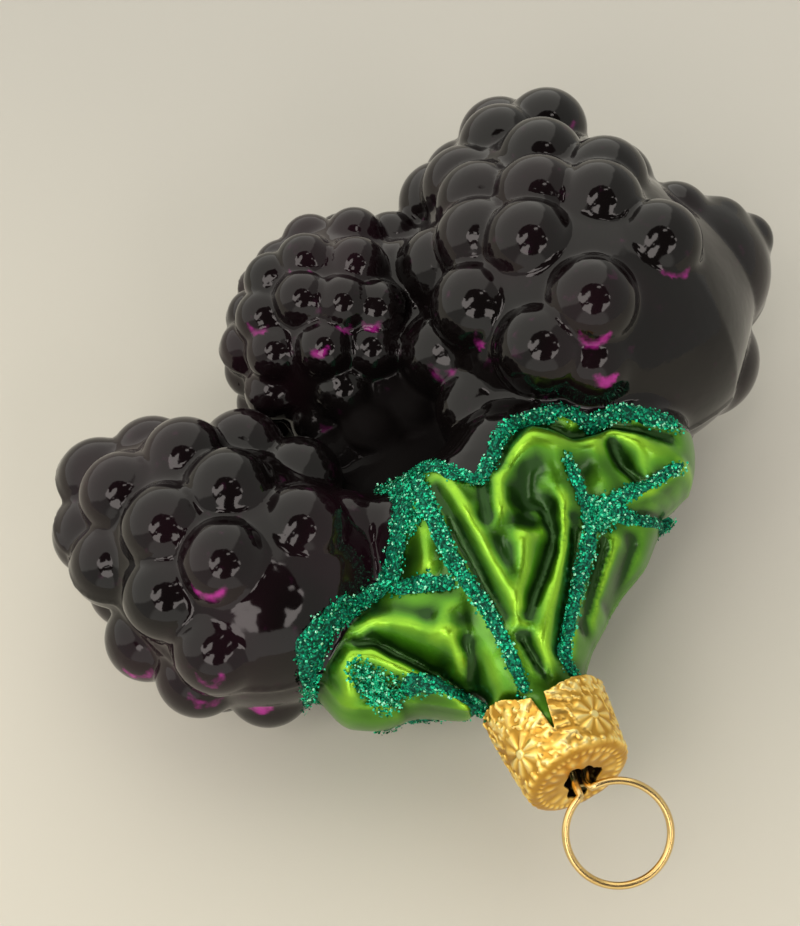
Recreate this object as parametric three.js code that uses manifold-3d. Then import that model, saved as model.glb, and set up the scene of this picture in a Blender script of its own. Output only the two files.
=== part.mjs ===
// Bramble ornament: a hollow, mould-blown glass cluster of three bramble fruits under one leafy
// calyx, with trails of glitter, a stamped metal cap and a sprung wire hanger.
// Millimetres, +Z up. It lies on its back: the neck runs along -Y and the berries point along +Y.
// The neck's axis is at x = 0 while the parts are made; the group is centred at the end.
import * as THREE from 'three';
import { mergeVertices } from 'three/addons/utils/BufferGeometryUtils.js';
import Module from 'manifold-3d';

const wasm = await Module();
wasm.setup();

// ---- driving dimensions -------------------------------------------------------------------------
const AXIS_HEIGHT = 16.1;        // neck and cap axis above the floor
const SEAM_HEIGHT = 17.3;        // joint plane of the two mould halves at the calyx
const WALL = 1.0;                // glass thickness under the crevices
const MELT = 0.3;                // how softly neighbouring drupelets run together
const CALYX_MELT = 1.6;          // the same between the calyx's lobes
const FLOOR_DIP = 0.3;           // depth of the flats worn underneath, where it rests
const STEM_SINK = 0.8;           // how far the last drupelets sink into the stem end

const NECK_OUTER = 4.1;
const NECK_INNER = 3.1;
const NECK_MOUTH_Y = -32.2;
const NECK_ROOT_Y = -25;

const CAP_END_Y = -35.1;
const CAP_CROWN_Y = -27.1;
const CAP_END_RADIUS = 4.8;
const CAP_CROWN_RADIUS = 5.7;
const CAP_SHEET = 0.45;
const CAP_SHOULDER = 0.8;
const CAP_END_SLANT = 0.23;      // how much further in the closed end lies for each mm up
const CAP_HOLE_HALF_WIDTH = 1.75;
const CAP_HOLE_HALF_HEIGHT = 2.4;
const CAP_HOLE_SHIFT = 0.2;      // how far the hole's middle is to the side of the axis
const CAP_HOLE_RISE = -0.7;      // and how far above it
const CAP_TABS = 4;
const CAP_NOTCH_TURN = -14;      // degrees from straight up to the first notch
const CAP_NOTCH_DEPTH = 3.9;
const CAP_NOTCH_WIDTH = 1.7;

const WIRE_RADIUS = 0.34;
const RING_RADIUS = 4.6;         // middle of the wire
const RING_DROP = new THREE.Vector3(0.289, -0.869, -0.395);   // from the hole to the ring's centre
const RING_NORMAL = new THREE.Vector3(-0.198, -0.459, 0.866);
const RING_STAND_OFF = 0.6;      // ring wire's middle in front of the cap's end
const RING_RISE = 1.1;           // how far above the axis the wire comes out
const RING_SHIFT = -0.3;         // and how far to its side
const RING_MOUTH_HALF_ANGLE = 8; // degrees left open at the hole on each side

const GLITTER_RADIUS = 0.34;
const GLITTER_LIFT = 1.05;       // bead's middle above the glass

const V = (x, y, z) => new THREE.Vector3(x, y, z);

// Each berry: middle (its height is settled by the floor), half length, half width, taper towards
// the tip, bluntness (1 is round), tip direction, drupelet radius, crevice depth, the widest gap left
// between drupelets, drupelets placed one by one as [degrees from the tip, turn, stand-out], and a
// bare place as [degrees from the tip, turn, radius]. A turn of 0 is straight up and 90 towards -X.
// The one at a turn of 180 is what the berry lies on.
// Some have a shoulder, a plain swelling, and knobs, each a middle and a radius.
const BERRIES = {
  left: {
    centre: V(-21.5, -0.2, 14.4), halfLength: 18.6, halfWidth: 14.2, taper: 0.17, blunt: 0.9,
    tip: V(-0.51, 1, 0), drupelet: 4.2, crevice: 2.6, gap: 5.2,
    placed: [[53, 26, 0], [64, 338, 0], [88, 346, 0], [95, 294, 0.4], [80, 23, 0], [106, 18, 0],
      [117, 335, 0], [46, 83, 0.5], [65, 72, 0], [94, 51, 0], [120, 61, 0], [73, 299, 0.6],
      [37, 316, -0.9], [21, 45, 0.5], [88, 98, 0.4], [112, 180, 0.45]],
    bare: [134, 20, 6.5],
    shoulder: [V(-18.8, -7.3, 16.6), 8.3, V(-17, -6, 16), 8.3],
    knobs: [],
  },
  right: {
    centre: V(20.8, 14.2, 18.7), halfLength: 23.3, halfWidth: 17.8, taper: 0.32, blunt: 0.88,
    tip: V(0.11, 1, 0), drupelet: 4.4, crevice: 2.7, gap: 5.4,
    placed: [[46, 12, 0], [66, 357, 0], [74, 36, 0], [92, 348, 0], [99, 21, 0], [109, 332, 0],
      [107, 51, 0], [127, 8, 0], [135, 35, 0], [133, 82, 0], [84, 66, 0], [53, 78, 0.7],
      [44, 326, 1.2], [71, 311, -0.9], [89, 93, 0.8], [27, 1, 0], [150, 17, -1.6],
      [116, 180, 0.4]],
    bare: [128, 318, 14],
    shoulder: [V(27, 6.5, 18.3), 12.2, V(34.8, 9.4, 18.5), 8.1],
    knobs: [[V(33.6, 13, 24.2), 3.7], [V(38.3, 11.4, 22.2), 3.1], [V(41, 9.8, 20.4), 2.9],
      [V(33.2, 2.6, 12.4), 6.2]],
  },
  far: {
    centre: V(-0.5, 19, 13.8), halfLength: 12.9, halfWidth: 13.8, taper: -0.1, blunt: 0.9,
    tip: V(-0.81, 1, 0), drupelet: 3.0, crevice: 1.9, gap: 3.8,
    placed: [[64, 359, 0], [93, 349, 0], [54, 39, 0], [77, 21, 0], [99, 14, 0], [116, 6, 0],
      [72, 53, 0], [100, 40, 0], [45, 325, -0.3], [77, 322, 0], [29, 349, -0.6], [24, 48, -0.5],
      [41, 92, -0.6], [92, 303, 0.6], [76, 180, 0.3]],
    bare: [170, 0, 1],
    knobs: [],
  },
};
const FILL_END = 140;            // degrees from the tip where the drupelets stop
const FILL_STEP = 4;             // degrees between the rings of places tried
const FILL_AROUND = 72;          // places tried round the widest ring
const SHOULDER_MELT = 1.2;       // how softly a shoulder runs into its berry

// Calyx lobes as round-ended cones: from, radius, to, radius.
const LOBES = [
  [V(0, -27.2, AXIS_HEIGHT), 2.8, V(0, -22, 17), 3.8],
  [V(0, -20.5, 17.3), 3.6, V(0.4, -9.5, 18.6), 7.4],
  [V(3, -17, 17.8), 4.6, V(7.6, -6.2, 20.2), 7.3],
  [V(4.2, -18.4, 17.3), 3.2, V(17.8, -8, 18.6), 6.8],
  [V(3.6, -21.5, 16.8), 2, V(11.8, -15.6, 16.9), 3.2],
  [V(-2.4, -21.4, 17.2), 3.1, V(-7.6, -18.4, 15.8), 2.8],
  [V(-4.3, -22.4, 14.4), 1.6, V(-8.4, -18.6, 15.2), 2.5],
  [V(-10.4, -16.6, 15), 3.4, V(-13.2, -17.2, 14.2), 4.7],
  [V(0, -16, 17.3), 5, V(-11, -15, 15), 4.6],
  [V(-1, -13, 17.3), 5.2, V(-6, -6, 16.5), 4.2],
];

// Plain glass that joins the three berries to each other and to the calyx, low between them, with
// three stray drupelets on it.
const JUNCTION = [
  [V(-13, -2, 11), 5.6, V(9, 3, 11.5), 6],
  [V(-3, -4, 12.2), 5.3, V(-1, 11, 10), 5.9],
  [V(-2.9, 6.4, 15.4), 3.2, V(-2.9, 6.4, 15.6), 3.2],
  [V(2, 7, 15.8), 3.2, V(2, 7, 16), 3.2],
  [V(-7, 5.5, 13.4), 3.2, V(-7, 5.5, 13.6), 3.2],
];

// Glitter trails as [name, how far towards the neck the same trail lies underneath, points seen from
// above as (x, y)].
const TRAILS = [
  ['upper_edge', 2, [[-3.6, -1.2], [-1.1, -4.4], [1, -7.4], [3.2, -6.6], [5.4, -4.9], [8.6, -3.6],
    [12, -4.2], [14, -6.2], [16.8, -6.4], [19.4, -7.9], [22, -9.2]]],
  ['left_edge', 0, [[-7.4, -8.4], [-9, -12], [-12.9, -13], [-15.9, -14.1]]],
  ['left_vein', 0, [[-3.8, -4], [-3.4, -9], [-3.2, -15.4], [-2.3, -21], [-2.1, -25.8]]],
  ['right_vein', 0, [[9.8, -9.6], [10, -12.6], [8.6, -16.6], [5.3, -20.8], [2.7, -25.6]]],
  ['right_branch', 0, [[11.6, -14.8], [15, -13.5], [19.8, -12.6]]],
  ['window_base', 0, [[-8.2, -12.8], [-6.2, -14.4], [-4.6, -15.4]]],
  ['hem', 0, [[-10.8, -20.8], [-8.9, -21.6], [-6.9, -23], [-5, -25.4]]],
];

// ---- implicit glass surfaces: negative inside ---------------------------------------------------
const softMin = (values, softness) => {
  const least = Math.min(...values);
  const total = values.reduce((sum, value) => sum + Math.exp((least - value) / softness), 0);
  return least - softness * Math.log(total);
};

class Berry {
  constructor(spec) {
    Object.assign(this, spec);
    this.tip = spec.tip.clone().normalize();
    this.side = V(0, 0, 1).cross(this.tip).normalize();
    this.up = this.tip.clone().cross(this.side);
    this.drupelets = this.placed.map((place) => this.makeDrupelet(...place));
    this.fillGaps();
    this.layOnFloor();
  }

  /** Adds drupelets, each in the widest gap left, until no gap is too wide. */
  fillGaps() {
    const bareMiddle = this.makeDrupelet(this.bare[0], this.bare[1], 0);
    const open = this.places().filter((ball) => ball.distanceTo(bareMiddle) > this.bare[2]);
    const room = open.map((ball) => (
      Math.min(...this.drupelets.map((other) => other.distanceTo(ball)))));
    for (let widest = Math.max(...room); widest > this.gap; widest = Math.max(...room)) {
      const added = open[room.indexOf(widest)];
      this.drupelets.push(added.clone());
      open.forEach((ball, i) => { room[i] = Math.min(room[i], added.distanceTo(ball)); });
    }
  }

  /** Every place that a drupelet may be added at, ring by ring, sunk a little near the stem. */
  places() {
    const rings = Array.from({ length: FILL_END / FILL_STEP + 1 }, (_, i) => i * FILL_STEP);
    return rings.flatMap((degrees) => {
      const sine = Math.sin(THREE.MathUtils.degToRad(degrees));
      const count = Math.max(1, Math.round(FILL_AROUND * sine));
      const sink = STEM_SINK * THREE.MathUtils.smoothstep(degrees, 105, 145);
      return Array.from({ length: count }, (_, k) => (
        this.makeDrupelet(degrees, 360 * k / count, -sink)));
    });
  }

  layOnFloor() {
    const lowest = Math.min(...this.drupelets.map((ball) => ball.z)) - this.drupelet;
    const lift = -FLOOR_DIP - lowest;
    this.drupelets.forEach((ball) => { ball.z += lift; });
    this.centre = this.centre.clone().add(V(0, 0, lift));
  }

  /** Point on the hull at an angle from the tip and a turn about the axis, in radians. */
  hullPoint(angle, turn) {
    const width = this.halfWidth * Math.sin(angle) ** this.blunt * (1 - this.taper * Math.cos(angle));
    return this.centre.clone()
      .addScaledVector(this.tip, this.halfLength * Math.cos(angle))
      .addScaledVector(this.side, width * Math.sin(turn))
      .addScaledVector(this.up, width * Math.cos(turn));
  }

  hullNormal(angle, turn) {
    const step = 1e-3;
    const along = this.hullPoint(angle + step, turn).sub(this.hullPoint(angle - step, turn));
    const around = this.hullPoint(angle, turn + step).sub(this.hullPoint(angle, turn - step));
    return around.cross(along).normalize();
  }

  /** Middle of a drupelet, from the angles of its crown on the hull and how far it stands out. */
  makeDrupelet(degrees, turn, out) {
    const angle = Math.max(THREE.MathUtils.degToRad(degrees), 0.02);
    const radians = THREE.MathUtils.degToRad(turn);
    const normal = this.hullNormal(angle, radians);
    return this.hullPoint(angle, radians).addScaledVector(normal, out - this.drupelet);
  }

  /** Signed distance, near enough, to the plain form under the drupelets. */
  core(point, inset) {
    const length = this.halfLength - inset;
    const width = this.halfWidth - inset;
    const local = point.clone().sub(this.centre);
    const along = local.dot(this.tip);
    const across = local.addScaledVector(this.tip, -along).length();
    const t = along / length;
    const reach = Math.max(1 - this.taper * Math.max(Math.min(t, 1), -1), 0.2);
    const round = (across / (width * reach)) ** (2 / this.blunt);
    const egg = (Math.sqrt(t * t + round) - 1) * Math.min(length, width);
    if (!this.shoulder) return egg;
    return softMin([egg, roundCone(point, this.shoulder) + inset - this.crevice], SHOULDER_MELT);
  }

  field(point) {
    const balls = this.drupelets.map((centre) => centre.distanceTo(point) - this.drupelet);
    const knobs = this.knobs.map(([middle, radius]) => middle.distanceTo(point) - radius);
    return softMin([...balls, ...knobs, this.core(point, this.crevice)], MELT);
  }
}

/** Signed distance to a cone with round ends. */
const roundCone = (point, [from, fromRadius, to, toRadius]) => {
  const axis = to.clone().sub(from);
  const share = point.clone().sub(from).dot(axis) / axis.lengthSq();
  const t = Math.min(Math.max(share, 0), 1);
  const nearest = from.clone().addScaledVector(axis, t);
  return nearest.distanceTo(point) - THREE.MathUtils.lerp(fromRadius, toRadius, t);
};

const calyxField = (point) => softMin(LOBES.map((lobe) => roundCone(point, lobe)), CALYX_MELT);

const berries = Object.values(BERRIES).map((spec) => new Berry(spec));
const junctionField = (point) => softMin(JUNCTION.map((lobe) => roundCone(point, lobe)), MELT);
const glassField = (point) => Math.min(
  calyxField(point), junctionField(point), ...berries.map((berry) => berry.field(point)));

/** First place along a ray where the field turns from inside to outside. */
const crossing = (field, start, direction, far) => {
  let inside = 0;
  let outside = far;
  for (let i = 0; i < 40; i += 1) {
    const middle = (inside + outside) / 2;
    const value = field(start.clone().addScaledVector(direction, middle));
    if (value < 0) inside = middle;
    else outside = middle;
  }
  return start.clone().addScaledVector(direction, inside);
};

/** A ball blown out from a centre until it meets the mould. */
const blown = (centre, detail, field) => {
  const geometry = new THREE.IcosahedronGeometry(1, detail);
  const position = geometry.attributes.position;
  for (let i = 0; i < position.count; i += 1) {
    const direction = V().fromBufferAttribute(position, i).normalize();
    const point = crossing(field, centre, direction, 40);
    position.setXYZ(i, point.x, point.y, point.z);
  }
  return geometry;
};

// ---- manifold helpers ---------------------------------------------------------------------------
const toSolid = (geometry) => {
  const bare = geometry.clone();
  bare.deleteAttribute('normal');
  bare.deleteAttribute('uv');
  const merged = mergeVertices(bare, 1e-4);
  const triVerts = new Uint32Array(merged.index.array);
  const vertProperties = new Float32Array(merged.attributes.position.array);
  return new wasm.Manifold(new wasm.Mesh({ numProp: 3, vertProperties, triVerts }));
};

const toGeometry = (solid) => {
  const mesh = solid.getMesh();
  const geometry = new THREE.BufferGeometry();
  geometry.setAttribute('position', new THREE.BufferAttribute(mesh.vertProperties, 3));
  geometry.setIndex(new THREE.BufferAttribute(mesh.triVerts, 1));
  geometry.computeVertexNormals();
  return geometry;
};

const union = (solids) => solids.reduce((whole, solid) => whole.add(solid));

/** A closed surface of revolution about the neck's axis from (radius, y) pairs. */
const turned = (profile, segments) => {
  const points = profile.map(([radius, y]) => new THREE.Vector2(radius, y));
  const geometry = new THREE.LatheGeometry(points, segments);
  geometry.translate(0, 0, AXIS_HEIGHT);
  return geometry;
};

/** A round bar along a curve, with closed ends. */
const bar = (curve, radius, sides, steps) => {
  const section = new THREE.Shape();
  for (let i = 0; i <= sides; i += 1) {
    const angle = 2 * Math.PI * i / sides;
    const x = radius * Math.cos(angle);
    const y = radius * Math.sin(angle);
    if (i === 0) section.moveTo(x, y);
    else if (i < sides) section.lineTo(x, y);
  }
  section.closePath();
  return new THREE.ExtrudeGeometry(section, { steps, bevelEnabled: false, extrudePath: curve });
};

// ---- glass body ---------------------------------------------------------------------------------
const CALYX_CENTRE = V(1, -16, SEAM_HEIGHT);
const CALYX_WALL = 1.4;
const SKIN_DETAIL = { left: 8, right: 9, far: 7 };
const CALYX_DETAIL = 7;
const INNER_DETAIL = 3;
const JUNCTION_CENTRE = V(-2.4, 1, 12);
const JUNCTION_DETAIL = 6;

const makeGlass = () => {
  const names = Object.keys(BERRIES);
  const skins = berries.map((berry, i) => blown(
    berry.centre, SKIN_DETAIL[names[i]], (point) => berry.field(point)));
  const hollows = berries.map((berry) => blown(
    berry.centre, INNER_DETAIL, (point) => berry.core(point, berry.crevice + WALL)));
  const calyx = blown(CALYX_CENTRE, CALYX_DETAIL, calyxField);
  const calyxHollow = blown(
    CALYX_CENTRE, INNER_DETAIL, (point) => calyxField(point) + CALYX_WALL);
  const junction = blown(JUNCTION_CENTRE, JUNCTION_DETAIL, junctionField);
  const junctionHollow = blown(
    JUNCTION_CENTRE, INNER_DETAIL, (point) => junctionField(point) + CALYX_WALL);
  const neck = turned([[0, NECK_MOUTH_Y], [NECK_OUTER, NECK_MOUTH_Y], [NECK_OUTER, NECK_ROOT_Y],
    [0, NECK_ROOT_Y]], 32);
  const bore = turned([[0, NECK_MOUTH_Y - 2], [NECK_INNER, NECK_MOUTH_Y - 2],
    [NECK_INNER, NECK_ROOT_Y + 4], [0, NECK_ROOT_Y + 4]], 24);
  const outer = union([...skins, calyx, junction, neck].map(toSolid));
  const inner = union([...hollows, calyxHollow, junctionHollow, bore].map(toSolid));
  const slabThickness = 10;
  const floorCut = new THREE.BoxGeometry(200, 200, slabThickness);
  floorCut.translate(0, 0, -slabThickness / 2);
  return toGeometry(outer.subtract(inner).subtract(toSolid(floorCut)));
};

// ---- cap ----------------------------------------------------------------------------------------
/** The irregular hole that the wire passes through. */
const makeHole = () => {
  const star = new THREE.Shape();
  const points = 12;
  const depth = 6;
  for (let i = 0; i < points; i += 1) {
    const size = i % 2 ? 0.88 : 1;
    const angle = 2 * Math.PI * i / points;
    const x = CAP_HOLE_HALF_WIDTH * size * Math.cos(angle);
    const y = CAP_HOLE_HALF_HEIGHT * size * Math.sin(angle);
    if (i === 0) star.moveTo(x, y);
    else star.lineTo(x, y);
  }
  star.closePath();
  const geometry = new THREE.ExtrudeGeometry(star, { depth, bevelEnabled: false });
  geometry.rotateX(Math.PI / 2);
  geometry.translate(CAP_HOLE_SHIFT, CAP_END_Y + depth / 2, AXIS_HEIGHT + CAP_HOLE_RISE);
  return geometry;
};

/** Leans the cap's closed end in towards its top; the crown stays where it is. */
const slantEnd = (geometry) => {
  const pivot = AXIS_HEIGHT - CAP_END_RADIUS + CAP_SHOULDER;
  const position = geometry.attributes.position;
  for (let i = 0; i < position.count; i += 1) {
    const share = (CAP_CROWN_Y - position.getY(i)) / (CAP_CROWN_Y - CAP_END_Y);
    const shift = CAP_END_SLANT * (position.getZ(i) - pivot) * share;
    position.setY(i, position.getY(i) + shift);
  }
};

/** One V-shaped notch between two tabs of the crown. */
const makeNotch = (index) => {
  const notch = new THREE.Shape();
  notch.moveTo(0, CAP_CROWN_Y - CAP_NOTCH_DEPTH);
  notch.lineTo(CAP_NOTCH_WIDTH / 2, CAP_CROWN_Y + 1);
  notch.lineTo(-CAP_NOTCH_WIDTH / 2, CAP_CROWN_Y + 1);
  notch.closePath();
  const geometry = new THREE.ExtrudeGeometry(notch, { depth: 9, bevelEnabled: false });
  geometry.rotateY(THREE.MathUtils.degToRad(CAP_NOTCH_TURN + 360 * index / CAP_TABS));
  geometry.translate(0, 0, AXIS_HEIGHT);
  return geometry;
};

const makeCap = () => {
  const inset = CAP_SHEET;
  const shell = turned([
    [0, CAP_END_Y],
    [CAP_END_RADIUS - CAP_SHOULDER, CAP_END_Y],
    [CAP_END_RADIUS - 0.25 * CAP_SHOULDER, CAP_END_Y + 0.25 * CAP_SHOULDER],
    [CAP_END_RADIUS, CAP_END_Y + CAP_SHOULDER],
    [CAP_CROWN_RADIUS, CAP_CROWN_Y],
    [CAP_CROWN_RADIUS - inset, CAP_CROWN_Y],
    [CAP_END_RADIUS - inset, CAP_END_Y + CAP_SHOULDER],
    [CAP_END_RADIUS - CAP_SHOULDER - 0.2 * inset, CAP_END_Y + inset],
    [0, CAP_END_Y + inset],
  ], 48);
  slantEnd(shell);
  const notches = Array.from({ length: CAP_TABS }, (_, i) => toSolid(makeNotch(i)));
  const cuts = [toSolid(makeHole()), ...notches];
  return toGeometry(cuts.reduce((whole, cut) => whole.subtract(cut), toSolid(shell)));
};

// ---- wire hanger --------------------------------------------------------------------------------
/** One wire: a sprung leg in the neck, out through the hole, round the ring and back. */
const makeHanger = () => {
  const exitHeight = AXIS_HEIGHT + RING_RISE;
  const hole = V(RING_SHIFT, CAP_END_Y - RING_STAND_OFF, exitHeight);
  const drop = RING_DROP.clone().normalize();
  const across = RING_NORMAL.clone().normalize().cross(drop).normalize();
  const centre = hole.clone().addScaledVector(drop, RING_RADIUS);
  const ringPoints = 28;
  const open = THREE.MathUtils.degToRad(RING_MOUTH_HALF_ANGLE);
  const ring = Array.from({ length: ringPoints + 1 }, (_, i) => {
    const angle = open + (2 * Math.PI - 2 * open) * i / ringPoints;
    return centre.clone()
      .addScaledVector(drop, -RING_RADIUS * Math.cos(angle))
      .addScaledVector(across, RING_RADIUS * Math.sin(angle));
  });
  const leg = (side) => [
    V(RING_SHIFT + side * 0.5, CAP_END_Y + 0.3, exitHeight - 0.4),
    V(CAP_HOLE_SHIFT + side * 0.7, CAP_END_Y + 2.2, AXIS_HEIGHT + 0.2),
    V(side * 1.7, CAP_END_Y + 8, AXIS_HEIGHT),
    V(side * 2.3, CAP_END_Y + 12, AXIS_HEIGHT),
  ];
  const points = [...leg(1).reverse(), ...ring, ...leg(-1)];
  const curve = new THREE.CatmullRomCurve3(points, false, 'centripetal');
  return bar(curve, WIRE_RADIUS, 8, 72);
};

// ---- glitter ------------------------------------------------------------------------------------
/** A point just off the glass, straight above or below (x, y). */
const onGlass = ([x, y], upwards) => {
  const start = V(x, y, SEAM_HEIGHT);
  const direction = V(0, 0, upwards ? 1 : -1);
  const step = 0.25;
  let reach = 0;
  for (let i = 0; i < 90; i += 1) {
    const probe = start.clone().addScaledVector(direction, i * step);
    if (glassField(probe) < 0) reach = i * step;
  }
  const surface = start.clone().addScaledVector(direction, reach + step / 2);
  const delta = 0.4;
  const slope = (dx, dy, dz) => glassField(surface.clone().add(V(dx, dy, dz)))
    - glassField(surface.clone().sub(V(dx, dy, dz)));
  const normal = V(slope(delta, 0, 0), slope(0, delta, 0), slope(0, 0, delta)).normalize();
  const height = glassField(surface);
  return surface.addScaledVector(normal, GLITTER_LIFT - height);
};

const makeTrail = (points, upwards) => {
  const guide = new THREE.CatmullRomCurve3(points.map(([x, y]) => V(x, y, 0)), false, 'centripetal');
  const steps = Math.ceil(guide.getLength() / 1.6);
  const track = guide.getSpacedPoints(steps).map((p) => onGlass([p.x, p.y], upwards));
  const curve = new THREE.CatmullRomCurve3(track, false, 'centripetal');
  return bar(curve, GLITTER_RADIUS, 6, steps + 2);
};

// ---- materials ----------------------------------------------------------------------------------
const lacquer = new THREE.MeshStandardMaterial({ color: 0x160b12, roughness: 0.12, metalness: 0.2 });
const goldSheet = new THREE.MeshStandardMaterial({ color: 0xc99a3a, roughness: 0.35, metalness: 1 });
const goldWire = new THREE.MeshStandardMaterial({ color: 0xc9a24c, roughness: 0.25, metalness: 1 });
const glitter = new THREE.MeshStandardMaterial({ color: 0x0b7f55, roughness: 0.4, metalness: 0.6 });

// ---- assembly -----------------------------------------------------------------------------------
const part = new THREE.Group();
const addNode = (name, geometry, material) => {
  const mesh = new THREE.Mesh(geometry, material);
  mesh.name = name;
  part.add(mesh);
};

addNode('glass_body', makeGlass(), lacquer);
addNode('cap', makeCap(), goldSheet);
addNode('hanger_wire', makeHanger(), goldWire);
TRAILS.forEach(([name, neckwards, points]) => {
  const pointsBelow = points.map(([x, y]) => [x, y - neckwards]);
  addNode(`glitter_${name}`, makeTrail(points, true), glitter);
  addNode(`glitter_${name}_back`, makeTrail(pointsBelow, false), glitter);
});

// Origin at the middle of the footprint, on the floor.
const bounds = new THREE.Box3().setFromObject(part, true);
part.position.set(-(bounds.min.x + bounds.max.x) / 2, -(bounds.min.y + bounds.max.y) / 2, -bounds.min.z);
part.updateMatrixWorld(true);

export default part;
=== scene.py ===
"""Bramble ornament: blown glass, glitter, a stamped cap and a wire ring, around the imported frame.

The glass is one implicit form in millimetres, in the maker's own frame: the neck's axis at x = 0, the
berries towards +Y, the floor at z = 0. A Datum read from the cap's box carries it into the row frame.
"""

from __future__ import annotations

import logging
import math
from dataclasses import dataclass, field
from enum import Enum
from typing import Any, Callable, Sequence

import bpy
import numpy as np
import openvdb
from mathutils import Matrix, Vector

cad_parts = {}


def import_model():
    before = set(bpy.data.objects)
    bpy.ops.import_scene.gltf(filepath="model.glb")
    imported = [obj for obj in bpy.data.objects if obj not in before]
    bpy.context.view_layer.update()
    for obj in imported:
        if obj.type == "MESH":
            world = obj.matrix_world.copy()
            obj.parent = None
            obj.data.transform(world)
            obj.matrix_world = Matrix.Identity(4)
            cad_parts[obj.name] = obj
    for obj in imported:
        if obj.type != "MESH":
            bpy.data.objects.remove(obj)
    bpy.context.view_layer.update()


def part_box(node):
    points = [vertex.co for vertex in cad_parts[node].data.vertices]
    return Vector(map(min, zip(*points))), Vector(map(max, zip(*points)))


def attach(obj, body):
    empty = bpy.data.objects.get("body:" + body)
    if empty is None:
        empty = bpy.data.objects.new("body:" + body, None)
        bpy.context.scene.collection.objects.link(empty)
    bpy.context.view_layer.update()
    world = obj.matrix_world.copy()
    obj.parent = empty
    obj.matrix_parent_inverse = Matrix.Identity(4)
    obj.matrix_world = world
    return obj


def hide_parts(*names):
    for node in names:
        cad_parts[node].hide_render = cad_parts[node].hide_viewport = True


LOG = logging.getLogger("ornament")
MM = 0.001              # metres
BODY = "root"
AXIS_HEIGHT = 16.1      # the axis of the neck and cap, above the floor
SEAM_HEIGHT = 17.3      # the plane where the mould's halves met
CAP_END_Y = -35.1       # the foremost point of the cap's closed end
TURN = 2 * math.pi
BLOCK = 40000           # how many points are worked out together
Array = np.ndarray
Point = tuple[float, float, float]


# ---- small helpers ------------------------------------------------------------------------------
def unit(vectors: Array) -> Array:
    """Vectors scaled to length 1 along their last axis."""
    length = np.linalg.norm(vectors, axis=-1, keepdims=True)
    return vectors / np.maximum(length, 1e-12)


def smoothstep(low: float, high: float, value: Array | float) -> Array | float:
    """A soft step from 0 at low to 1 at high."""
    t = np.clip((value - low) / (high - low), 0.0, 1.0)
    return t * t * (3.0 - 2.0 * t)


def wave(angle: Array) -> Array:
    """A cosine wave from 0 to 1."""
    return 0.5 + 0.5 * np.cos(angle)


def bell(away: Array, width: Array | float) -> Array:
    """A smooth bump, 1 at the middle and near 0 from two widths away."""
    return np.exp(-((away / width) ** 2))


def spline(points: Sequence[Sequence[float]], samples: int) -> Array:
    """A curve through the points, at even steps of its length.

    Args:
        points: the points that it passes.
        samples: how many points come back.

    Returns:
        An array of samples by the points' own size.
    """
    steps = 24
    knots = np.asarray(points, float)
    knots = np.vstack([2 * knots[0] - knots[1], knots, 2 * knots[-1] - knots[-2]])
    t = np.linspace(0.0, 1.0, steps, endpoint=False)[:, None]
    dense = []
    for a, b, c, d in zip(knots, knots[1:], knots[2:], knots[3:]):
        dense.append(0.5 * (2 * b + (c - a) * t + (2 * a - 5 * b + 4 * c - d) * t**2
                            + (3 * b - a - 3 * c + d) * t**3))
    line = np.vstack(dense + [knots[-2][None]])
    along = np.concatenate([[0.0], np.cumsum(np.linalg.norm(np.diff(line, axis=0), axis=1))])
    at = np.linspace(0.0, along[-1], samples)
    return np.stack([np.interp(at, along, line[:, i]) for i in range(line.shape[1])], axis=1)


def smooth_noise(points: Array, scale: float, seed: int) -> Array:
    """Gentle noise from -1 to 1, made of a few crossed waves, so that it is the same each run.

    Args:
        points: where to read it.
        scale: the size of its features, in the points' unit.
        seed: which pattern.

    Returns:
        One value a point.
    """
    waves, usual_peak = 6, 3.2
    rng = np.random.default_rng(seed)
    total = np.zeros(len(points))
    for _ in range(waves):
        direction = unit(rng.normal(size=points.shape[1]))
        frequency = TURN / (scale * rng.uniform(0.7, 1.5))
        total += np.sin(points @ direction * frequency + rng.uniform(0, TURN))
    return total / usual_peak


@dataclass(frozen=True)
class Datum:
    """Carries the maker's millimetres into the row frame's metres."""

    offset: tuple[float, float, float]

    @classmethod
    def from_cap(cls) -> "Datum":
        """Reads where the cap's axis and closed end are."""
        low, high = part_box("cap")
        middle = (low[0] + high[0]) / 2 / MM
        height = (low[2] + high[2]) / 2 / MM
        return cls((middle, low[1] / MM - CAP_END_Y, height - AXIS_HEIGHT))

    def place(self, points: Array) -> Array:
        """Points in the row frame, in metres."""
        return (np.asarray(points, float) + np.array(self.offset)) * MM


def make_object(name: str, vertices: Array, faces: Sequence[Sequence[int]] | Array, smooth: bool = True
                ) -> bpy.types.Object:
    """A mesh object from vertices in metres and faces, linked to the scene."""
    mesh = bpy.data.meshes.new(name)
    faces = np.asarray(faces)
    sides = faces.shape[1]
    mesh.vertices.add(len(vertices))
    mesh.vertices.foreach_set("co", np.asarray(vertices, np.float32).ravel())
    mesh.loops.add(faces.size)
    mesh.loops.foreach_set("vertex_index", faces.astype(np.int32).ravel())
    mesh.polygons.add(len(faces))
    mesh.polygons.foreach_set("loop_start", np.arange(0, faces.size, sides, dtype=np.int32))
    mesh.update(calc_edges=True)
    mesh.polygons.foreach_set("use_smooth", np.full(len(faces), smooth))
    mesh.validate()
    made = bpy.data.objects.new(name, mesh)
    bpy.context.scene.collection.objects.link(made)
    return made


def add_attribute(piece: bpy.types.Object, name: str, values: Array) -> None:
    """Stores one number a vertex on a piece, for its finish to read."""
    attribute = piece.data.attributes.new(name, "FLOAT", "POINT")
    attribute.data.foreach_set("value", np.asarray(values, np.float32))


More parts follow.
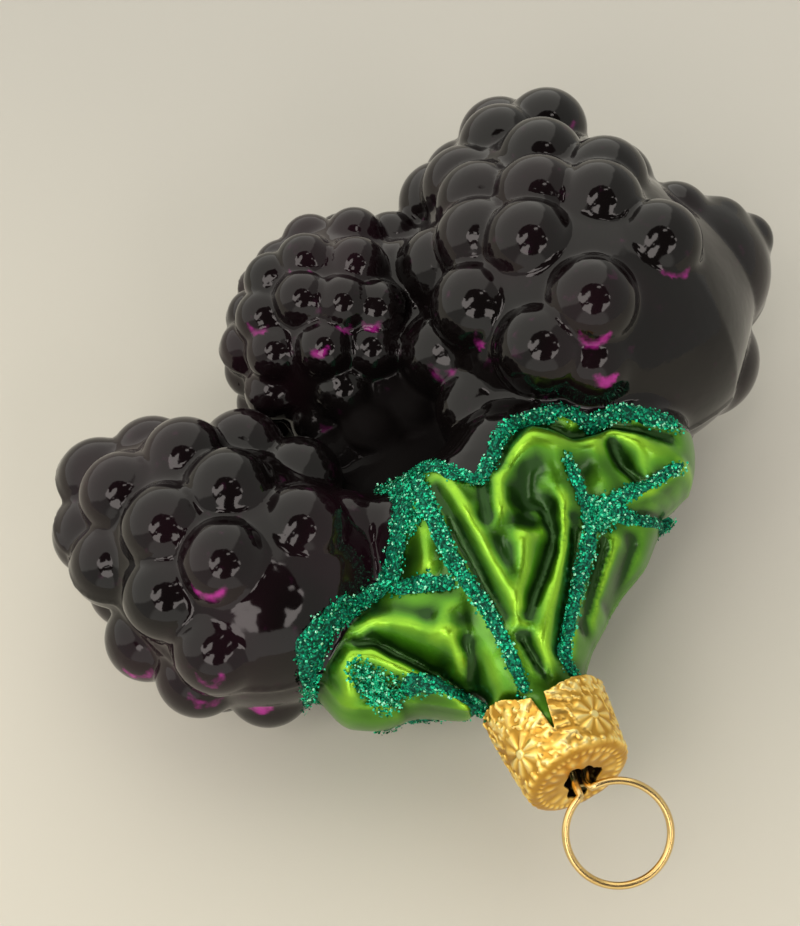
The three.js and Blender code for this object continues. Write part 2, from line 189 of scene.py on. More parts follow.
def tube(path: Array, radius: float, sides: int) -> tuple[Array, Array]:
    """A round bar along a path, each end closed by a flat fan of quads.

    Args:
        path: the middle line.
        radius: the bar's radius.
        sides: how many sides it has, an even number.

    Returns:
        Vertices and quads.
    """
    count = len(path)
    tangent = unit(np.gradient(path, axis=0))
    across = unit(np.cross(tangent[0], [0.31, 0.17, 0.93]))
    frames = []
    for direction in tangent:
        across = unit(across - direction * (across @ direction))
        frames.append((across, np.cross(direction, across)))
    angle = np.arange(sides) * TURN / sides
    rings = [middle + radius * (np.outer(np.cos(angle), one) + np.outer(np.sin(angle), other))
             for middle, (one, other) in zip(path, frames)]
    vertices = np.vstack(rings + [path[:1], path[-1:]])
    quads = []
    for i in range(count - 1):
        for j in range(sides):
            k = (j + 1) % sides
            quads.append((i * sides + j, i * sides + k, (i + 1) * sides + k, (i + 1) * sides + j))
    start, end = count * sides, count * sides + 1
    last = (count - 1) * sides
    for j in range(0, sides, 2):
        k, m = (j + 1) % sides, (j + 2) % sides
        quads.append((start, m, k, j))
        quads.append((end, last + j, last + k, last + m))
    return vertices, np.array(quads)


# ---- the glass as one implicit form -------------------------------------------------------------
def soft_min(values: Array, softness: float) -> Array:
    """The least of the values along the first axis, run together softly."""
    least = values.min(axis=0)
    return least - softness * np.log(np.exp((least - values) / softness).sum(axis=0))


def segment_distance(points: Array, start: Array, end: Array) -> tuple[Array, Array]:
    """Distance to a straight segment, and the share of the way along it of the nearest point."""
    axis = end - start
    share = np.clip((points - start) @ axis / (axis @ axis), 0.0, 1.0)
    return np.linalg.norm(points - start - share[:, None] * axis, axis=1), share


class Region(Enum):
    """The parts of the one glass body that are lacquered in their own way."""

    LEFT = "left"
    RIGHT = "right"
    FAR = "far"
    JUNCTION = "junction"
    CALYX = "calyx"


@dataclass(frozen=True)
class RoundCone:
    """A cone with round ends."""

    start: Point
    start_radius: float
    end: Point
    end_radius: float

    def distance(self, points: Array) -> Array:
        """Distance to its surface, negative inside."""
        away, share = segment_distance(points, np.array(self.start), np.array(self.end))
        return away - self.start_radius - share * (self.end_radius - self.start_radius)


@dataclass
class Berry:
    """One blown berry: an egg set with drupelets, lying on the floor.

    Sizes are millimetres, angles degrees. A placed drupelet is (angle from the tip, turn, stand-out),
    the bare place is (angle, turn, radius), and a knob is (x, y, z, radius). The other drupelets are
    added in the widest gap left until none is wider than the gap allowed.
    """

    centre: Point
    half_length: float
    half_width: float
    taper: float
    blunt: float
    tip: Point
    drupelet: float
    crevice: float
    gap: float
    placed: tuple[Point, ...]
    bare: Point = (170, 0, 1)
    shoulder: RoundCone | None = None
    knobs: tuple[tuple[float, float, float, float], ...] = ()
    shoulder_melt: float = 1.2
    melt: float = 0.22
    floor_dip: float = 0.3
    stem_sink: float = 0.8
    sink_from: float = 105.0
    sink_to: float = 145.0
    fill_end: int = 141
    fill_step: int = 4
    fill_turns: int = 72
    middle: Array = field(init=False)
    axis: Array = field(init=False)
    side: Array = field(init=False)
    up: Array = field(init=False)
    balls: Array = field(init=False)

    def __post_init__(self) -> None:
        """Sets the drupelets, then lowers or lifts the berry until it lies on the floor."""
        self.middle = np.array(self.centre, float)
        self.axis = unit(np.array(self.tip, float))
        self.side = unit(np.cross([0, 0, 1.0], self.axis))
        self.up = np.cross(self.axis, self.side)
        placed = np.vstack([self.set_in(angle, turn, out) for angle, turn, out in self.placed])
        self.balls = self.fill(placed)
        lift = -self.floor_dip - (self.balls[:, 2].min() - self.drupelet)
        self.balls[:, 2] += lift
        self.middle[2] += lift

    def hull(self, angle: float, turn: Array) -> Array:
        """Points of the egg at an angle from the tip and turns about its axis, in radians."""
        width = self.half_width * math.sin(angle) ** self.blunt
        width *= 1 - self.taper * math.cos(angle)
        ring = np.outer(np.sin(turn), self.side) + np.outer(np.cos(turn), self.up)
        return self.middle + self.axis * self.half_length * math.cos(angle) + width * ring

    def set_in(self, degrees: float, turns: Array | float, out: float) -> Array:
        """Middles of drupelets whose crowns stand out from the egg by so much.

        Args:
            degrees: their angle from the tip.
            turns: their turns about the axis, 0 straight up.
            out: how far they stand out.

        Returns:
            One point a turn.
        """
        off_pole, step = 0.02, 1e-3
        angle, turn = max(math.radians(degrees), off_pole), np.radians(np.atleast_1d(turns))
        along = self.hull(angle + step, turn) - self.hull(angle - step, turn)
        around = self.hull(angle, turn + step) - self.hull(angle, turn - step)
        return self.hull(angle, turn) + unit(np.cross(around, along)) * (out - self.drupelet)

    def fill(self, balls: Array) -> Array:
        """The drupelets with more added, each in the widest gap left, until no gap is too wide."""
        rings = []
        for degrees in range(0, self.fill_end, self.fill_step):
            count = max(1, int(self.fill_turns * math.sin(math.radians(degrees)) + 0.5))
            sink = self.stem_sink * smoothstep(self.sink_from, self.sink_to, degrees)
            rings.append(self.set_in(degrees, 360 * np.arange(count) / count, -sink))
        places = np.vstack(rings)
        bare = self.set_in(self.bare[0], self.bare[1], 0.0)
        places = places[np.linalg.norm(places - bare, axis=1) > self.bare[2]]
        room = np.linalg.norm(places[:, None] - balls[None], axis=2).min(axis=1)
        while room.max() > self.gap:
            added = places[room.argmax()]
            balls = np.vstack([balls, added])
            room = np.minimum(room, np.linalg.norm(places - added, axis=1))
        return balls

    def core(self, points: Array) -> Array:
        """Distance, near enough, to the plain egg under the drupelets."""
        length = self.half_length - self.crevice
        width = self.half_width - self.crevice
        local = points - self.middle
        along = local @ self.axis
        across = np.linalg.norm(local - along[:, None] * self.axis, axis=1)
        t = along / length
        least = 0.2
        reach = np.maximum(1 - self.taper * np.clip(t, -1, 1), least)
        egg = (np.sqrt(t * t + (across / (width * reach)) ** (2 / self.blunt)) - 1) * min(length, width)
        if self.shoulder is None:
            return egg
        return soft_min(np.array([egg, self.shoulder.distance(points)]), self.shoulder_melt)

    def distance(self, points: Array) -> Array:
        """Distance to the berry's glass, negative inside."""
        gaps = [np.linalg.norm(points - ball, axis=1) - self.drupelet for ball in self.balls]
        for x, y, z, radius in self.knobs:
            gaps.append(np.linalg.norm(points - (x, y, z), axis=1) - radius)
        return soft_min(np.array(gaps + [self.core(points)]), self.melt)


@dataclass(frozen=True)
class Fold:
    """A ridge, or with a negative height a groove, that both mould halves press along a line.

    Each point of the line is (x, y, height, width), and both sizes change evenly between points.
    """

    line: tuple[tuple[float, float, float, float], ...]

    def relief(self, flat: Array) -> Array:
        """How far it lifts the glass at points seen from above."""
        most = np.zeros(len(flat))
        for start, end in zip(np.array(self.line), np.array(self.line)[1:]):
            gap, share = segment_distance(flat, start[:2], end[:2])
            height = start[2] + share * (end[2] - start[2])
            width = start[3] + share * (end[3] - start[3])
            rise = height * bell(gap, width)
            most = np.where(np.abs(rise) > np.abs(most), rise, most)
        return most


@dataclass
class Calyx:
    """The leafy calyx: lobes run together, with folds pressed into them, and the neck."""

    lobes: tuple[RoundCone, ...]
    folds: tuple[Fold, ...]
    melt: float = 1.6
    neck_melt: float = 0.5
    wrinkle: float = 0.06
    wrinkle_size: float = 5.0
    wrinkle_seed: int = 17
    plain_until: float = -27.5
    folded_from: float = -24.5
    neck: RoundCone = RoundCone((0, -28.1, AXIS_HEIGHT), 4.1, (0, -25, AXIS_HEIGHT), 4.1)

    def distance(self, points: Array) -> Array:
        """Distance to the calyx's glass, negative inside."""
        plain = soft_min(np.array([lobe.distance(points) for lobe in self.lobes]), self.melt)
        relief = sum(fold.relief(points[:, :2]) for fold in self.folds)
        relief = relief + self.wrinkle * smooth_noise(points[:, :2], self.wrinkle_size, self.wrinkle_seed)
        fade = smoothstep(self.plain_until, self.folded_from, points[:, 1])
        return soft_min(np.array([plain - relief * fade, self.neck.distance(points)]), self.neck_melt)


@dataclass
class Lobes:
    """Plain glass made of a few lobes run together."""

    lobes: tuple[RoundCone, ...]
    melt: float = 0.8

    def distance(self, points: Array) -> Array:
        """Distance to its glass, negative inside."""
        return soft_min(np.array([lobe.distance(points) for lobe in self.lobes]), self.melt)


@dataclass
class Glass:
    """The whole blown body, meshed as one closed skin."""

    forms: dict[Region, Any]
    bore: RoundCone
    melt: float = 0.5
    seam_height: float = SEAM_HEIGHT
    seam_rise: float = 0.14
    seam_width: float = 0.3

    def parts(self, points: Array) -> Array:
        """Distance to each form, one row a region."""
        return np.array([form.distance(points) for form in self.forms.values()])

    def distance(self, points: Array) -> Array:
        """Distance to the glass, worked out a block of points at a time."""
        blocks = np.array_split(points, len(points) // BLOCK + 1)
        return np.concatenate([self.block_distance(block) for block in blocks])

    def block_distance(self, points: Array) -> Array:
        """Distance to the glass with its mould seam, on the floor, with the neck's bore open."""
        whole = soft_min(self.parts(points), self.melt)
        whole -= self.seam_rise * bell(points[:, 2] - self.seam_height, self.seam_width)
        whole = np.maximum(whole, -self.bore.distance(points))
        return np.maximum(whole, -points[:, 2])

    def drop(self, flat: Array, upwards: bool = True) -> Array:
        """The glass straight above, or below, the seam plane at points seen from above.

        Args:
            flat: (x, y) points.
            upwards: True for the top half of the mould, False for the half underneath.

        Returns:
            Points on the surface.
        """
        sign = 1.0 if upwards else -1.0
        start, passes, share, longest_back = 26.0, 60, 0.7, 2.0
        points = np.column_stack([flat, np.full(len(flat), self.seam_height + sign * start)])
        for _ in range(passes):
            points[:, 2] -= sign * share * np.maximum(self.distance(points), -longest_back)
            points[:, 2] = np.where(sign * (points[:, 2] - self.seam_height) < 0, self.seam_height,
                                    points[:, 2])
        return points


def skin(distance: Callable[[Array], Array], low: Array, high: Array, step: float
         ) -> tuple[Array, Array]:
    """Meshes the surface where a distance is 0.

    Args:
        distance: gives the distance at points, negative inside.
        low: the lowest corner of the box that holds the surface.
        high: its highest corner.
        step: the mesh's spacing.

    Returns:
        Vertices and quads.
    """
    coarse, spare = 4, 1.4
    counts = np.ceil((high - low) / (coarse * step)).astype(int) + 1
    axes = [low[i] + (np.arange(counts[i]) + 0.5) * coarse * step for i in range(3)]
    middles = np.stack(np.meshgrid(*axes, indexing="ij"), axis=-1).reshape(-1, 3)
    band = coarse * step * spare
    values = distance(middles).reshape(counts).repeat(coarse, 0).repeat(coarse, 1).repeat(coarse, 2)
    near = np.argwhere(np.abs(values) < band)
    values[tuple(near.T)] = distance(low + (near + 0.5) * step)
    grid = openvdb.FloatGrid(background=band)
    grid.copyFromArray(values.astype(np.float32))
    points, _, quads = grid.convertToPolygons(0.0, 0.0)
    return low + (points.astype(float) + 0.5) * step, quads


def settle(distance: Callable[[Array], Array], points: Array, reach: float, passes: int = 2) -> Array:
    """Points moved onto a surface along its normal.

    Args:
        distance: gives the distance at points, negative inside.
        points: near the surface.
        reach: how far the slope is read over.
        passes: how many times they move.

    Returns:
        The moved points.
    """
    for _ in range(passes):
        points = points - slope(distance, points, reach) * np.clip(distance(points), -reach, reach)[:, None]
    return points


def slope(distance: Callable[[Array], Array], points: Array, reach: float) -> Array:
    """Outward directions at points near a surface."""
    rise = [distance(points + step) - distance(points - step) for step in np.eye(3) * reach]
    return unit(np.stack(rise, axis=1))


class Side(Enum):
    """Which half of the mould a trail is on."""

    TOP = 1
    UNDER = -1


@dataclass(frozen=True)
class Trail:
    """One trail of glitter: its way and its widths, seen from above, in millimetres."""

    name: str
    points: tuple[tuple[float, float, float], ...]
    patches: tuple[tuple[float, float, float], ...] = ()
    neckwards: float = 0.0


# ---- this ornament's own forms ------------------------------------------------------------------
def berries() -> dict[Region, Berry]:
    """The three berries as blown."""
    left = Berry(
        centre=(-21.5, -0.2, 14.4), half_length=18.6, half_width=14.2, taper=0.17, blunt=0.9,
        tip=(-0.51, 1, 0), drupelet=4.2, crevice=2.6, gap=5.2,
        placed=((53, 26, 0), (64, 338, 0), (88, 346, 0), (95, 294, 0.4), (80, 23, 0), (106, 18, 0),
                (117, 335, 0), (46, 83, 0.5), (65, 72, 0), (94, 51, 0), (120, 61, 0),
                (73, 299, 0.6), (37, 316, -0.9), (21, 45, 0.5), (88, 98, 0.4),
                (112, 180, 0.45)),
        bare=(134, 20, 6.5),
        shoulder=RoundCone((-18.8, -7.3, 16.6), 8.3, (-17, -6, 16), 8.3),
    )
    right = Berry(
        centre=(20.8, 14.2, 18.7), half_length=23.3, half_width=17.8, taper=0.32, blunt=0.88,
        tip=(0.11, 1, 0), drupelet=4.4, crevice=2.7, gap=5.4,
        placed=((46, 12, 0), (66, 357, 0), (74, 36, 0), (92, 348, 0), (99, 21, 0), (109, 332, 0),
                (107, 51, 0), (127, 8, 0), (135, 35, 0), (133, 82, 0), (84, 66, 0), (53, 78, 0.7),
                (44, 326, 1.2), (71, 311, -0.9), (89, 93, 0.8), (27, 1, 0), (150, 17, -1.6),
                (116, 180, 0.4)),
        bare=(128, 318, 14),
        shoulder=RoundCone((27, 6.5, 18.3), 12.2, (34.8, 9.4, 18.5), 8.1),
        knobs=((33.6, 13, 24.2, 3.7), (38.3, 11.4, 22.2, 3.1), (41, 9.8, 20.4, 2.9),
               (33.2, 2.6, 12.4, 6.2)),
    )
    far = Berry(
        centre=(-0.5, 19, 13.8), half_length=12.9, half_width=13.8, taper=-0.1, blunt=0.9,
        tip=(-0.81, 1, 0), drupelet=3.0, crevice=1.9, gap=3.8,
        placed=((64, 359, 0), (93, 349, 0), (54, 39, 0), (77, 21, 0), (99, 14, 0), (116, 6, 0),
                (72, 53, 0), (100, 40, 0), (45, 325, -0.3), (77, 322, 0), (29, 349, -0.6),
                (24, 48, -0.5), (41, 92, -0.6), (92, 303, 0.6), (76, 180, 0.3)),
    )
    return {Region.LEFT: left, Region.RIGHT: right, Region.FAR: far}


def junction() -> Lobes:
    """The plain glass low between the berries, with three stray drupelets."""
    return Lobes((RoundCone((-13, -2, 11), 5.6, (9, 3, 11.5), 6),
                  RoundCone((-3, -4, 12.2), 5.3, (-1, 11, 10), 5.9),
                  RoundCone((-2.9, 6.4, 15.4), 3.2, (-2.9, 6.4, 15.6), 3.2),
                  RoundCone((2, 7, 15.8), 3.2, (2, 7, 16), 3.2),
                  RoundCone((-7, 5.5, 13.4), 3.2, (-7, 5.5, 13.6), 3.2)), 0.4)


def calyx() -> Calyx:
    """The leafy calyx and its folds."""
    lobes = (
        RoundCone((0, -27.2, AXIS_HEIGHT), 2.8, (0, -22, 17), 3.8),
        RoundCone((0, -20.5, 17.3), 3.6, (0.4, -9.5, 18.6), 7.4),
        RoundCone((3, -17, 17.8), 4.6, (7.6, -6.2, 20.2), 7.3),
        RoundCone((4.2, -18.4, 17.3), 3.2, (17.8, -8, 18.6), 6.8),
        RoundCone((3.6, -21.5, 16.8), 2, (11.8, -15.6, 16.9), 3.2),
        RoundCone((-2.4, -21.4, 17.2), 3.1, (-7.6, -18.4, 15.8), 2.8),
        RoundCone((-4.3, -22.4, 14.4), 1.6, (-8.4, -18.6, 15.2), 2.5),
        RoundCone((-10.4, -16.6, 15.0), 3.4, (-13.2, -17.2, 14.2), 4.7),
        RoundCone((0, -16, 17.3), 5.0, (-11, -15, 15), 4.6),
        RoundCone((-1, -13, 17.3), 5.2, (-6, -6, 16.5), 4.2),
    )
    ridges = (
        Fold(((-1.6, -5.0, 0.4, 1.0), (-1.2, -8.5, 0.9, 1.2), (-0.9, -12.5, 1.0, 1.3),
              (-0.4, -17.0, 0.9, 1.2), (-0.1, -21.0, 0.5, 1.0))),
        Fold(((3.4, -8.9, 0.6, 1.1), (2.3, -11.6, 1.0, 1.2), (1.2, -13.3, 0.5, 1.1))),
        Fold(((4.8, -14.9, 0.7, 1.0), (2.9, -15.2, 1.5, 1.6), (2.0, -17.4, 1.1, 1.4),
              (0.6, -19.8, 0.6, 1.0))),
        Fold(((8.0, -12.5, 0.5, 1.0), (7.6, -14.6, 0.8, 1.1), (6.4, -16.8, 0.8, 1.1),
              (4.6, -19.2, 0.8, 1.1), (2.6, -21.6, 0.8, 1.1), (1.0, -23.6, 0.8, 1.1),
              (0.6, -26.0, 0.5, 1.1))),
        Fold(((5.4, -7.9, 0.8, 1.6), (7.4, -7.0, 1.0, 1.7), (9.3, -8.0, 0.9, 1.5),
              (11.0, -8.8, 0.7, 1.3))),
        Fold(((13.0, -8.9, 0.8, 1.2), (15.1, -8.5, 1.0, 1.1), (16.8, -9.7, 1.0, 1.1),
              (18.0, -11.2, 0.8, 1.2), (20.0, -12.6, 0.5, 1.3))),
        Fold(((13.0, -9.8, 0.5, 1.3), (12.4, -11.8, 0.6, 1.4))),
        Fold(((13.3, -14.5, 0.4, 0.8), (16.7, -14.3, 0.7, 0.8), (20.8, -13.5, 0.6, 0.9))),
        Fold(((9.4, -16.4, 0.7, 0.9), (6.9, -19.5, 0.7, 0.9), (4.7, -22.4, 0.6, 0.9),
              (3.4, -24.6, 0.4, 0.8))),
        Fold(((11.6, -17.3, 0.5, 0.9), (9.2, -19.8, 0.6, 0.9), (6.6, -22.4, 0.5, 0.9))),
        Fold(((-9.4, -13.8, 0.4, 1.2), (-6.8, -15.6, 0.5, 1.3), (-4.9, -17.4, 0.4, 1.0))),
        Fold(((-14.2, -14.9, 0.5, 1.1), (-12.0, -15.2, 0.9, 1.2), (-10.2, -15.9, 0.8, 1.2),
              (-8.8, -17.3, 0.9, 1.2), (-7.6, -19.0, 1.0, 1.2))),
        Fold(((-6.2, -18.2, 1.0, 1.3), (-6.1, -19.7, 1.3, 1.3), (-5.9, -21.0, 0.8, 1.1))),
        Fold(((-15.9, -19.4, 0.7, 1.1), (-15.7, -17.6, 0.8, 1.2), (-14.5, -17.0, 0.9, 1.1),
              (-12.7, -18.0, 0.9, 1.1), (-10.6, -20.4, 0.9, 1.1), (-8.5, -22.6, 0.8, 1.1),
              (-5.8, -25.8, 0.5, 1.0))),
        Fold(((-4.9, -10.4, 0.4, 0.9), (-5.7, -13.0, 0.9, 1.2))),
    )
    grooves = (
        Fold(((-2.1, -7.0, -0.5, 0.7), (-1.9, -11.2, -0.8, 0.7), (-1.7, -14.6, -0.8, 0.7),
              (-1.5, -17.8, -0.7, 0.7), (-1.2, -20.1, -0.3, 0.6))),
        Fold(((1.9, -8.6, -0.6, 0.7), (0.9, -11.6, -0.5, 0.8))),
        Fold(((6.0, -9.6, -1.1, 1.7), (5.4, -11.2, -1.5, 1.9), (4.8, -12.4, -1.0, 1.6))),
        Fold(((6.7, -12.6, -0.8, 0.9), (6.1, -14.7, -1.0, 0.8), (5.1, -16.3, -1.0, 0.8),
              (3.5, -17.9, -1.0, 0.8), (1.9, -19.4, -0.9, 0.7), (0.6, -20.8, -0.5, 0.6))),
        Fold(((8.3, -14.2, -0.5, 0.7), (7.4, -16.6, -0.8, 0.7), (5.6, -19.4, -0.8, 0.7),
              (3.7, -22.0, -0.7, 0.7), (2.2, -24.4, -0.4, 0.6))),
        Fold(((3.4, -8.0, -0.5, 0.8), (5.6, -6.0, -0.9, 0.8), (8.2, -4.6, -1.2, 0.9),
              (10.2, -5.3, -1.4, 1.0), (11.7, -6.9, -1.2, 0.9), (13.6, -7.0, -1.0, 0.8),
              (15.9, -7.0, -0.9, 0.8), (18.0, -8.6, -0.8, 0.8), (20.4, -10.0, -0.6, 0.8))),
        Fold(((14.9, -9.4, -0.9, 0.7), (15.4, -10.9, -1.3, 0.8), (16.1, -12.7, -0.7, 0.7))),
        Fold(((13.7, -15.1, -0.5, 0.6), (16.9, -15.1, -0.8, 0.6), (21.0, -14.0, -0.7, 0.7))),
        Fold(((10.2, -17.1, -0.6, 0.7), (7.8, -19.9, -0.6, 0.7), (5.4, -22.8, -0.5, 0.7))),
        Fold(((13.4, -17.1, -0.5, 0.7), (11.2, -19.2, -0.5, 0.7), (8.6, -21.4, -0.4, 0.7))),
        Fold(((-0.4, -22.4, -0.6, 0.5), (0.0, -24.3, -0.8, 0.5), (0.2, -25.8, -0.5, 0.5))),
        Fold(((-5.2, -20.6, -0.6, 0.7), (-5.2, -22.6, -1.0, 0.8), (-4.9, -24.4, -0.7, 0.7))),
        Fold(((-13.4, -16.2, -0.5, 0.8), (-12.2, -16.4, -0.9, 0.8), (-10.9, -18.0, -1.2, 0.9),
              (-9.4, -19.6, -1.2, 0.9), (-7.9, -21.2, -1.2, 0.9), (-6.6, -22.8, -1.1, 0.9),
              (-5.2, -25.2, -0.7, 0.8))),
        Fold(((-14.5, -19.8, -0.4, 1.0), (-12.0, -21.2, -0.5, 0.9))),
    )
    folds = ridges + grooves
    return Calyx(lobes, folds)


TRAILS = (
    Trail("upper_edge", ((-3.0, -1.4, 2.2), (-1.0, -4.6, 1.9), (0.0, -6.9, 1.6), (1.6, -8.0, 1.5),
                         (3.7, -6.7, 1.5), (5.4, -4.9, 1.5), (8.6, -4.2, 1.6), (12.0, -4.5, 1.6),
                         (14.0, -6.1, 1.6), (16.8, -6.2, 1.7), (19.4, -7.7, 1.9), (22.0, -9.2, 1.6)),
          ((-4.2, -2.4, 2.2), (-2.8, -2.8, 1.9), (-4.0, -5.0, 1.6)), 2.0),
    Trail("left_edge", ((-3.9, -2.6, 2.4), (-4.6, -5.0, 2.2), (-5.6, -7.4, 2.0), (-7.0, -9.4, 2.0),
                        (-8.8, -11.6, 2.1), (-12.9, -12.9, 1.8), (-15.9, -14.1, 2.0),
                        (-18.2, -15.6, 2.4), (-19.0, -17.4, 2.2)),
          ((-12.9, -21.0, 1.7), (-13.8, -19.8, 1.6), (-14.6, -18.6, 1.3))),
    Trail("left_vein", ((-2.9, -3.6, 2.0), (-3.3, -6.2, 1.9), (-3.5, -9.6, 1.7), (-3.3, -14.4, 1.5),
                        (-2.5, -18.4, 1.4), (-2.1, -22.4, 1.3), (-1.9, -26.4, 1.2)),
          ((-4.4, -8.2, 1.2), (-5.4, -9.0, 1.0))),
    Trail("right_vein", ((9.8, -9.4, 1.1), (10.1, -12.6, 1.3), (9.6, -15.5, 1.5), (7.4, -18.5, 1.4),
                         (5.4, -20.9, 1.3), (3.7, -23.1, 1.3), (2.6, -24.9, 1.3), (3.2, -26.7, 1.1)),
          ((10.9, -14.5, 1.9),)),
    Trail("right_branch", ((20.6, -12.9, 1.0), (17.5, -13.3, 1.2), (14.9, -13.6, 1.4),
                           (11.4, -14.2, 1.9), (12.6, -14.8, 1.8), (14.7, -15.7, 1.2),
                           (17.4, -15.7, 0.9), (19.4, -15.0, 0.8))),
    Trail("window_base", ((-9.2, -12.6, 1.8), (-6.6, -14.2, 1.6), (-4.0, -15.6, 1.6))),
    Trail("hem", ((-11.5, -20.9, 1.5), (-9.2, -21.9, 1.4), (-7.2, -23.2, 1.4), (-6.0, -24.5, 1.3),
                  (-5.2, -25.9, 1.2))),
)


# ---- finishes -----------------------------------------------------------------------------------
class Tree:
    """A shader tree that is filled from Python."""

    def __init__(self, node_tree: bpy.types.NodeTree) -> None:
        """Starts from an empty tree."""
        self.nodes = node_tree.nodes
        self.links = node_tree.links
        self.nodes.clear()

    def node(self, kind: str, settings: dict[str, Any] | None = None,
             inputs: dict[str | int, Any] | None = None, output: str | int = 0) -> "Socket":
        """Adds one node.

        Args:
            kind: the node's type name.
            settings: what is set on the node first; "stops" gives a ramp its (place, colour) stops.
            inputs: a value or a Socket for each input, by name or number.
            output: which output comes back.

        Returns:
            That output as a Socket.
        """
        node = self.nodes.new(kind)
        for name, value in (settings or {}).items():
            if name == "stops":
                self.set_stops(node.color_ramp, value)
            else:
                setattr(node, name, value)
        for name, value in (inputs or {}).items():
            if isinstance(value, Socket):
                self.links.new(value.socket, node.inputs[name])
            else:
                node.inputs[name].default_value = value
        return Socket(self, node.outputs[output]) if len(node.outputs) else Socket(self, None)

    @staticmethod
    def set_stops(ramp: bpy.types.ColorRamp, stops: Sequence[tuple[float, Sequence[float]]]) -> None:
        """Gives a colour ramp its stops."""
        while len(ramp.elements) < len(stops):
            ramp.elements.new(1.0)
        for element, (place, colour) in zip(ramp.elements, stops):
            element.position = place
            element.color = (*colour, 1.0)

    def attribute(self, name: str) -> "Socket":
        """A number stored on the piece's vertices."""
        return self.node("ShaderNodeAttribute", {"attribute_name": name}, output="Fac")

    def place(self) -> "Socket":
        """The shaded point in the object's own metres."""
        return self.node("ShaderNodeTexCoord", output="Object")

    def along(self, axis: int) -> "Socket":
        """The shaded point's x, y or z, for axis 0, 1 or 2."""
        return self.node("ShaderNodeSeparateXYZ", {}, {0: self.place()}, axis)

    def noise(self, scale: float, detail: float = 2.0, where: "Socket | None" = None) -> "Socket":
        """Noise from 0 to 1 with so many features a metre, at the shaded point or somewhere else."""
        inputs = {"Vector": where or self.place(), "Scale": scale, "Detail": detail}
        return self.node("ShaderNodeTexNoise", {}, inputs)

    def mix(self, factor: "Socket | float", first: Any, second: Any) -> "Socket":
        """A colour between two, first where the factor is 0."""
        node = self.nodes.new("ShaderNodeMix")
        node.data_type = "RGBA"
        for index, value in ((0, factor), (6, first), (7, second)):
            if isinstance(value, Socket):
                self.links.new(value.socket, node.inputs[index])
            elif index == 0:
                node.inputs[index].default_value = value
            else:
                node.inputs[index].default_value = (*value, 1.0)
        return Socket(self, node.outputs[2])

    def bump(self, height: "Socket", distance: float, strength: float = 1.0) -> "Socket":
        """A normal tilted by a height in metres."""
        inputs = {"Height": height, "Distance": distance, "Strength": strength}
        return self.node("ShaderNodeBump", {}, inputs)


@dataclass
class Socket:
    """A shader value that Python's arithmetic adds Math nodes to."""

    tree: Tree
    socket: Any

    def math(self, operation: str, *values: "Socket | float") -> "Socket":
        """One Math node on the values."""
        return self.tree.node("ShaderNodeMath", {"operation": operation}, dict(enumerate(values)))

    def __add__(self, other: "Socket | float") -> "Socket":
        """self + other."""
        return self.math("ADD", self, other)

    __radd__ = __add__

    def __mul__(self, other: "Socket | float") -> "Socket":
        """self * other."""
        return self.math("MULTIPLY", self, other)

    __rmul__ = __mul__

    def __sub__(self, other: "Socket | float") -> "Socket":
        """self - other."""
        return self.math("SUBTRACT", self, other)

    def __rsub__(self, other: "Socket | float") -> "Socket":
        """other - self."""
        return self.math("SUBTRACT", other, self)

    def step(self, low: float, high: float) -> "Socket":
        """A soft step from 0 at low to 1 at high."""
        settings = {"interpolation_type": "SMOOTHSTEP"}
        return self.tree.node("ShaderNodeMapRange", settings, {0: self, 1: low, 2: high})

    def ramp(self, *stops: tuple[float, Sequence[float]]) -> "Socket":
        """The colour at this value along a ramp."""
        return self.tree.node("ShaderNodeValToRGB", {"stops": stops}, {0: self})


@dataclass(frozen=True)
class Finish:
    """What every finish has: a name and one Principled shader."""

    name: str

    def inputs(self, tree: Tree) -> dict[str, Any]:
        """The Principled shader's sockets for this finish."""
        raise NotImplementedError

    def surface(self, tree: Tree) -> "Socket":
        """The shader."""
        return tree.node("ShaderNodeBsdfPrincipled", {}, self.inputs(tree))

    def material(self) -> bpy.types.Material:
        """Builds the material."""
        made = bpy.data.materials.new(self.name)
        made.use_nodes = True
        tree = Tree(made.node_tree)
        tree.node("ShaderNodeOutputMaterial", {}, {"Surface": self.surface(tree)})
        return made


@dataclass(frozen=True)
class BerryLacquer(Finish):
    """Near-black plum lacquer over silvered glass, with painted magenta reflections low on the
    camera-facing side of some drupelets, standing for light off the silvering where the lacquer is thin.
    """

    dark: Point = (0.004, 0.003, 0.003)
    plum: Point = (0.012, 0.004, 0.007)
    # magenta is the colour of the painted reflection spots
    magenta: Point = (0.42, 0.02, 0.28)

    def inputs(self, tree: Tree) -> dict[str, Any]:
        """Plum shows through the black in patches; the magenta spots are painted reflections."""
        cloud = tree.noise(60.0, 2.0)
        ragged = tree.noise(650.0, 3.0)
        # painted reflection: magenta spots on the camera-facing side of the drupelets, mixed into the base
        # colour below
        thin = (tree.attribute("painted_glint") + (ragged - 0.5) * 0.8).step(0.1, 0.95)
        colour = tree.mix(cloud.step(0.4, 0.7), self.dark, self.plum)
        colour = tree.mix(thin * ragged.step(0.3, 0.7), colour, self.magenta)
        return {
            "Base Color": colour,
            "Roughness": 0.05 + tree.noise(900.0, 1.0) * 0.05,
            "IOR": 1.38,
            "Normal": tree.bump(tree.noise(330.0, 2.0), 0.00012, 0.5),
        }


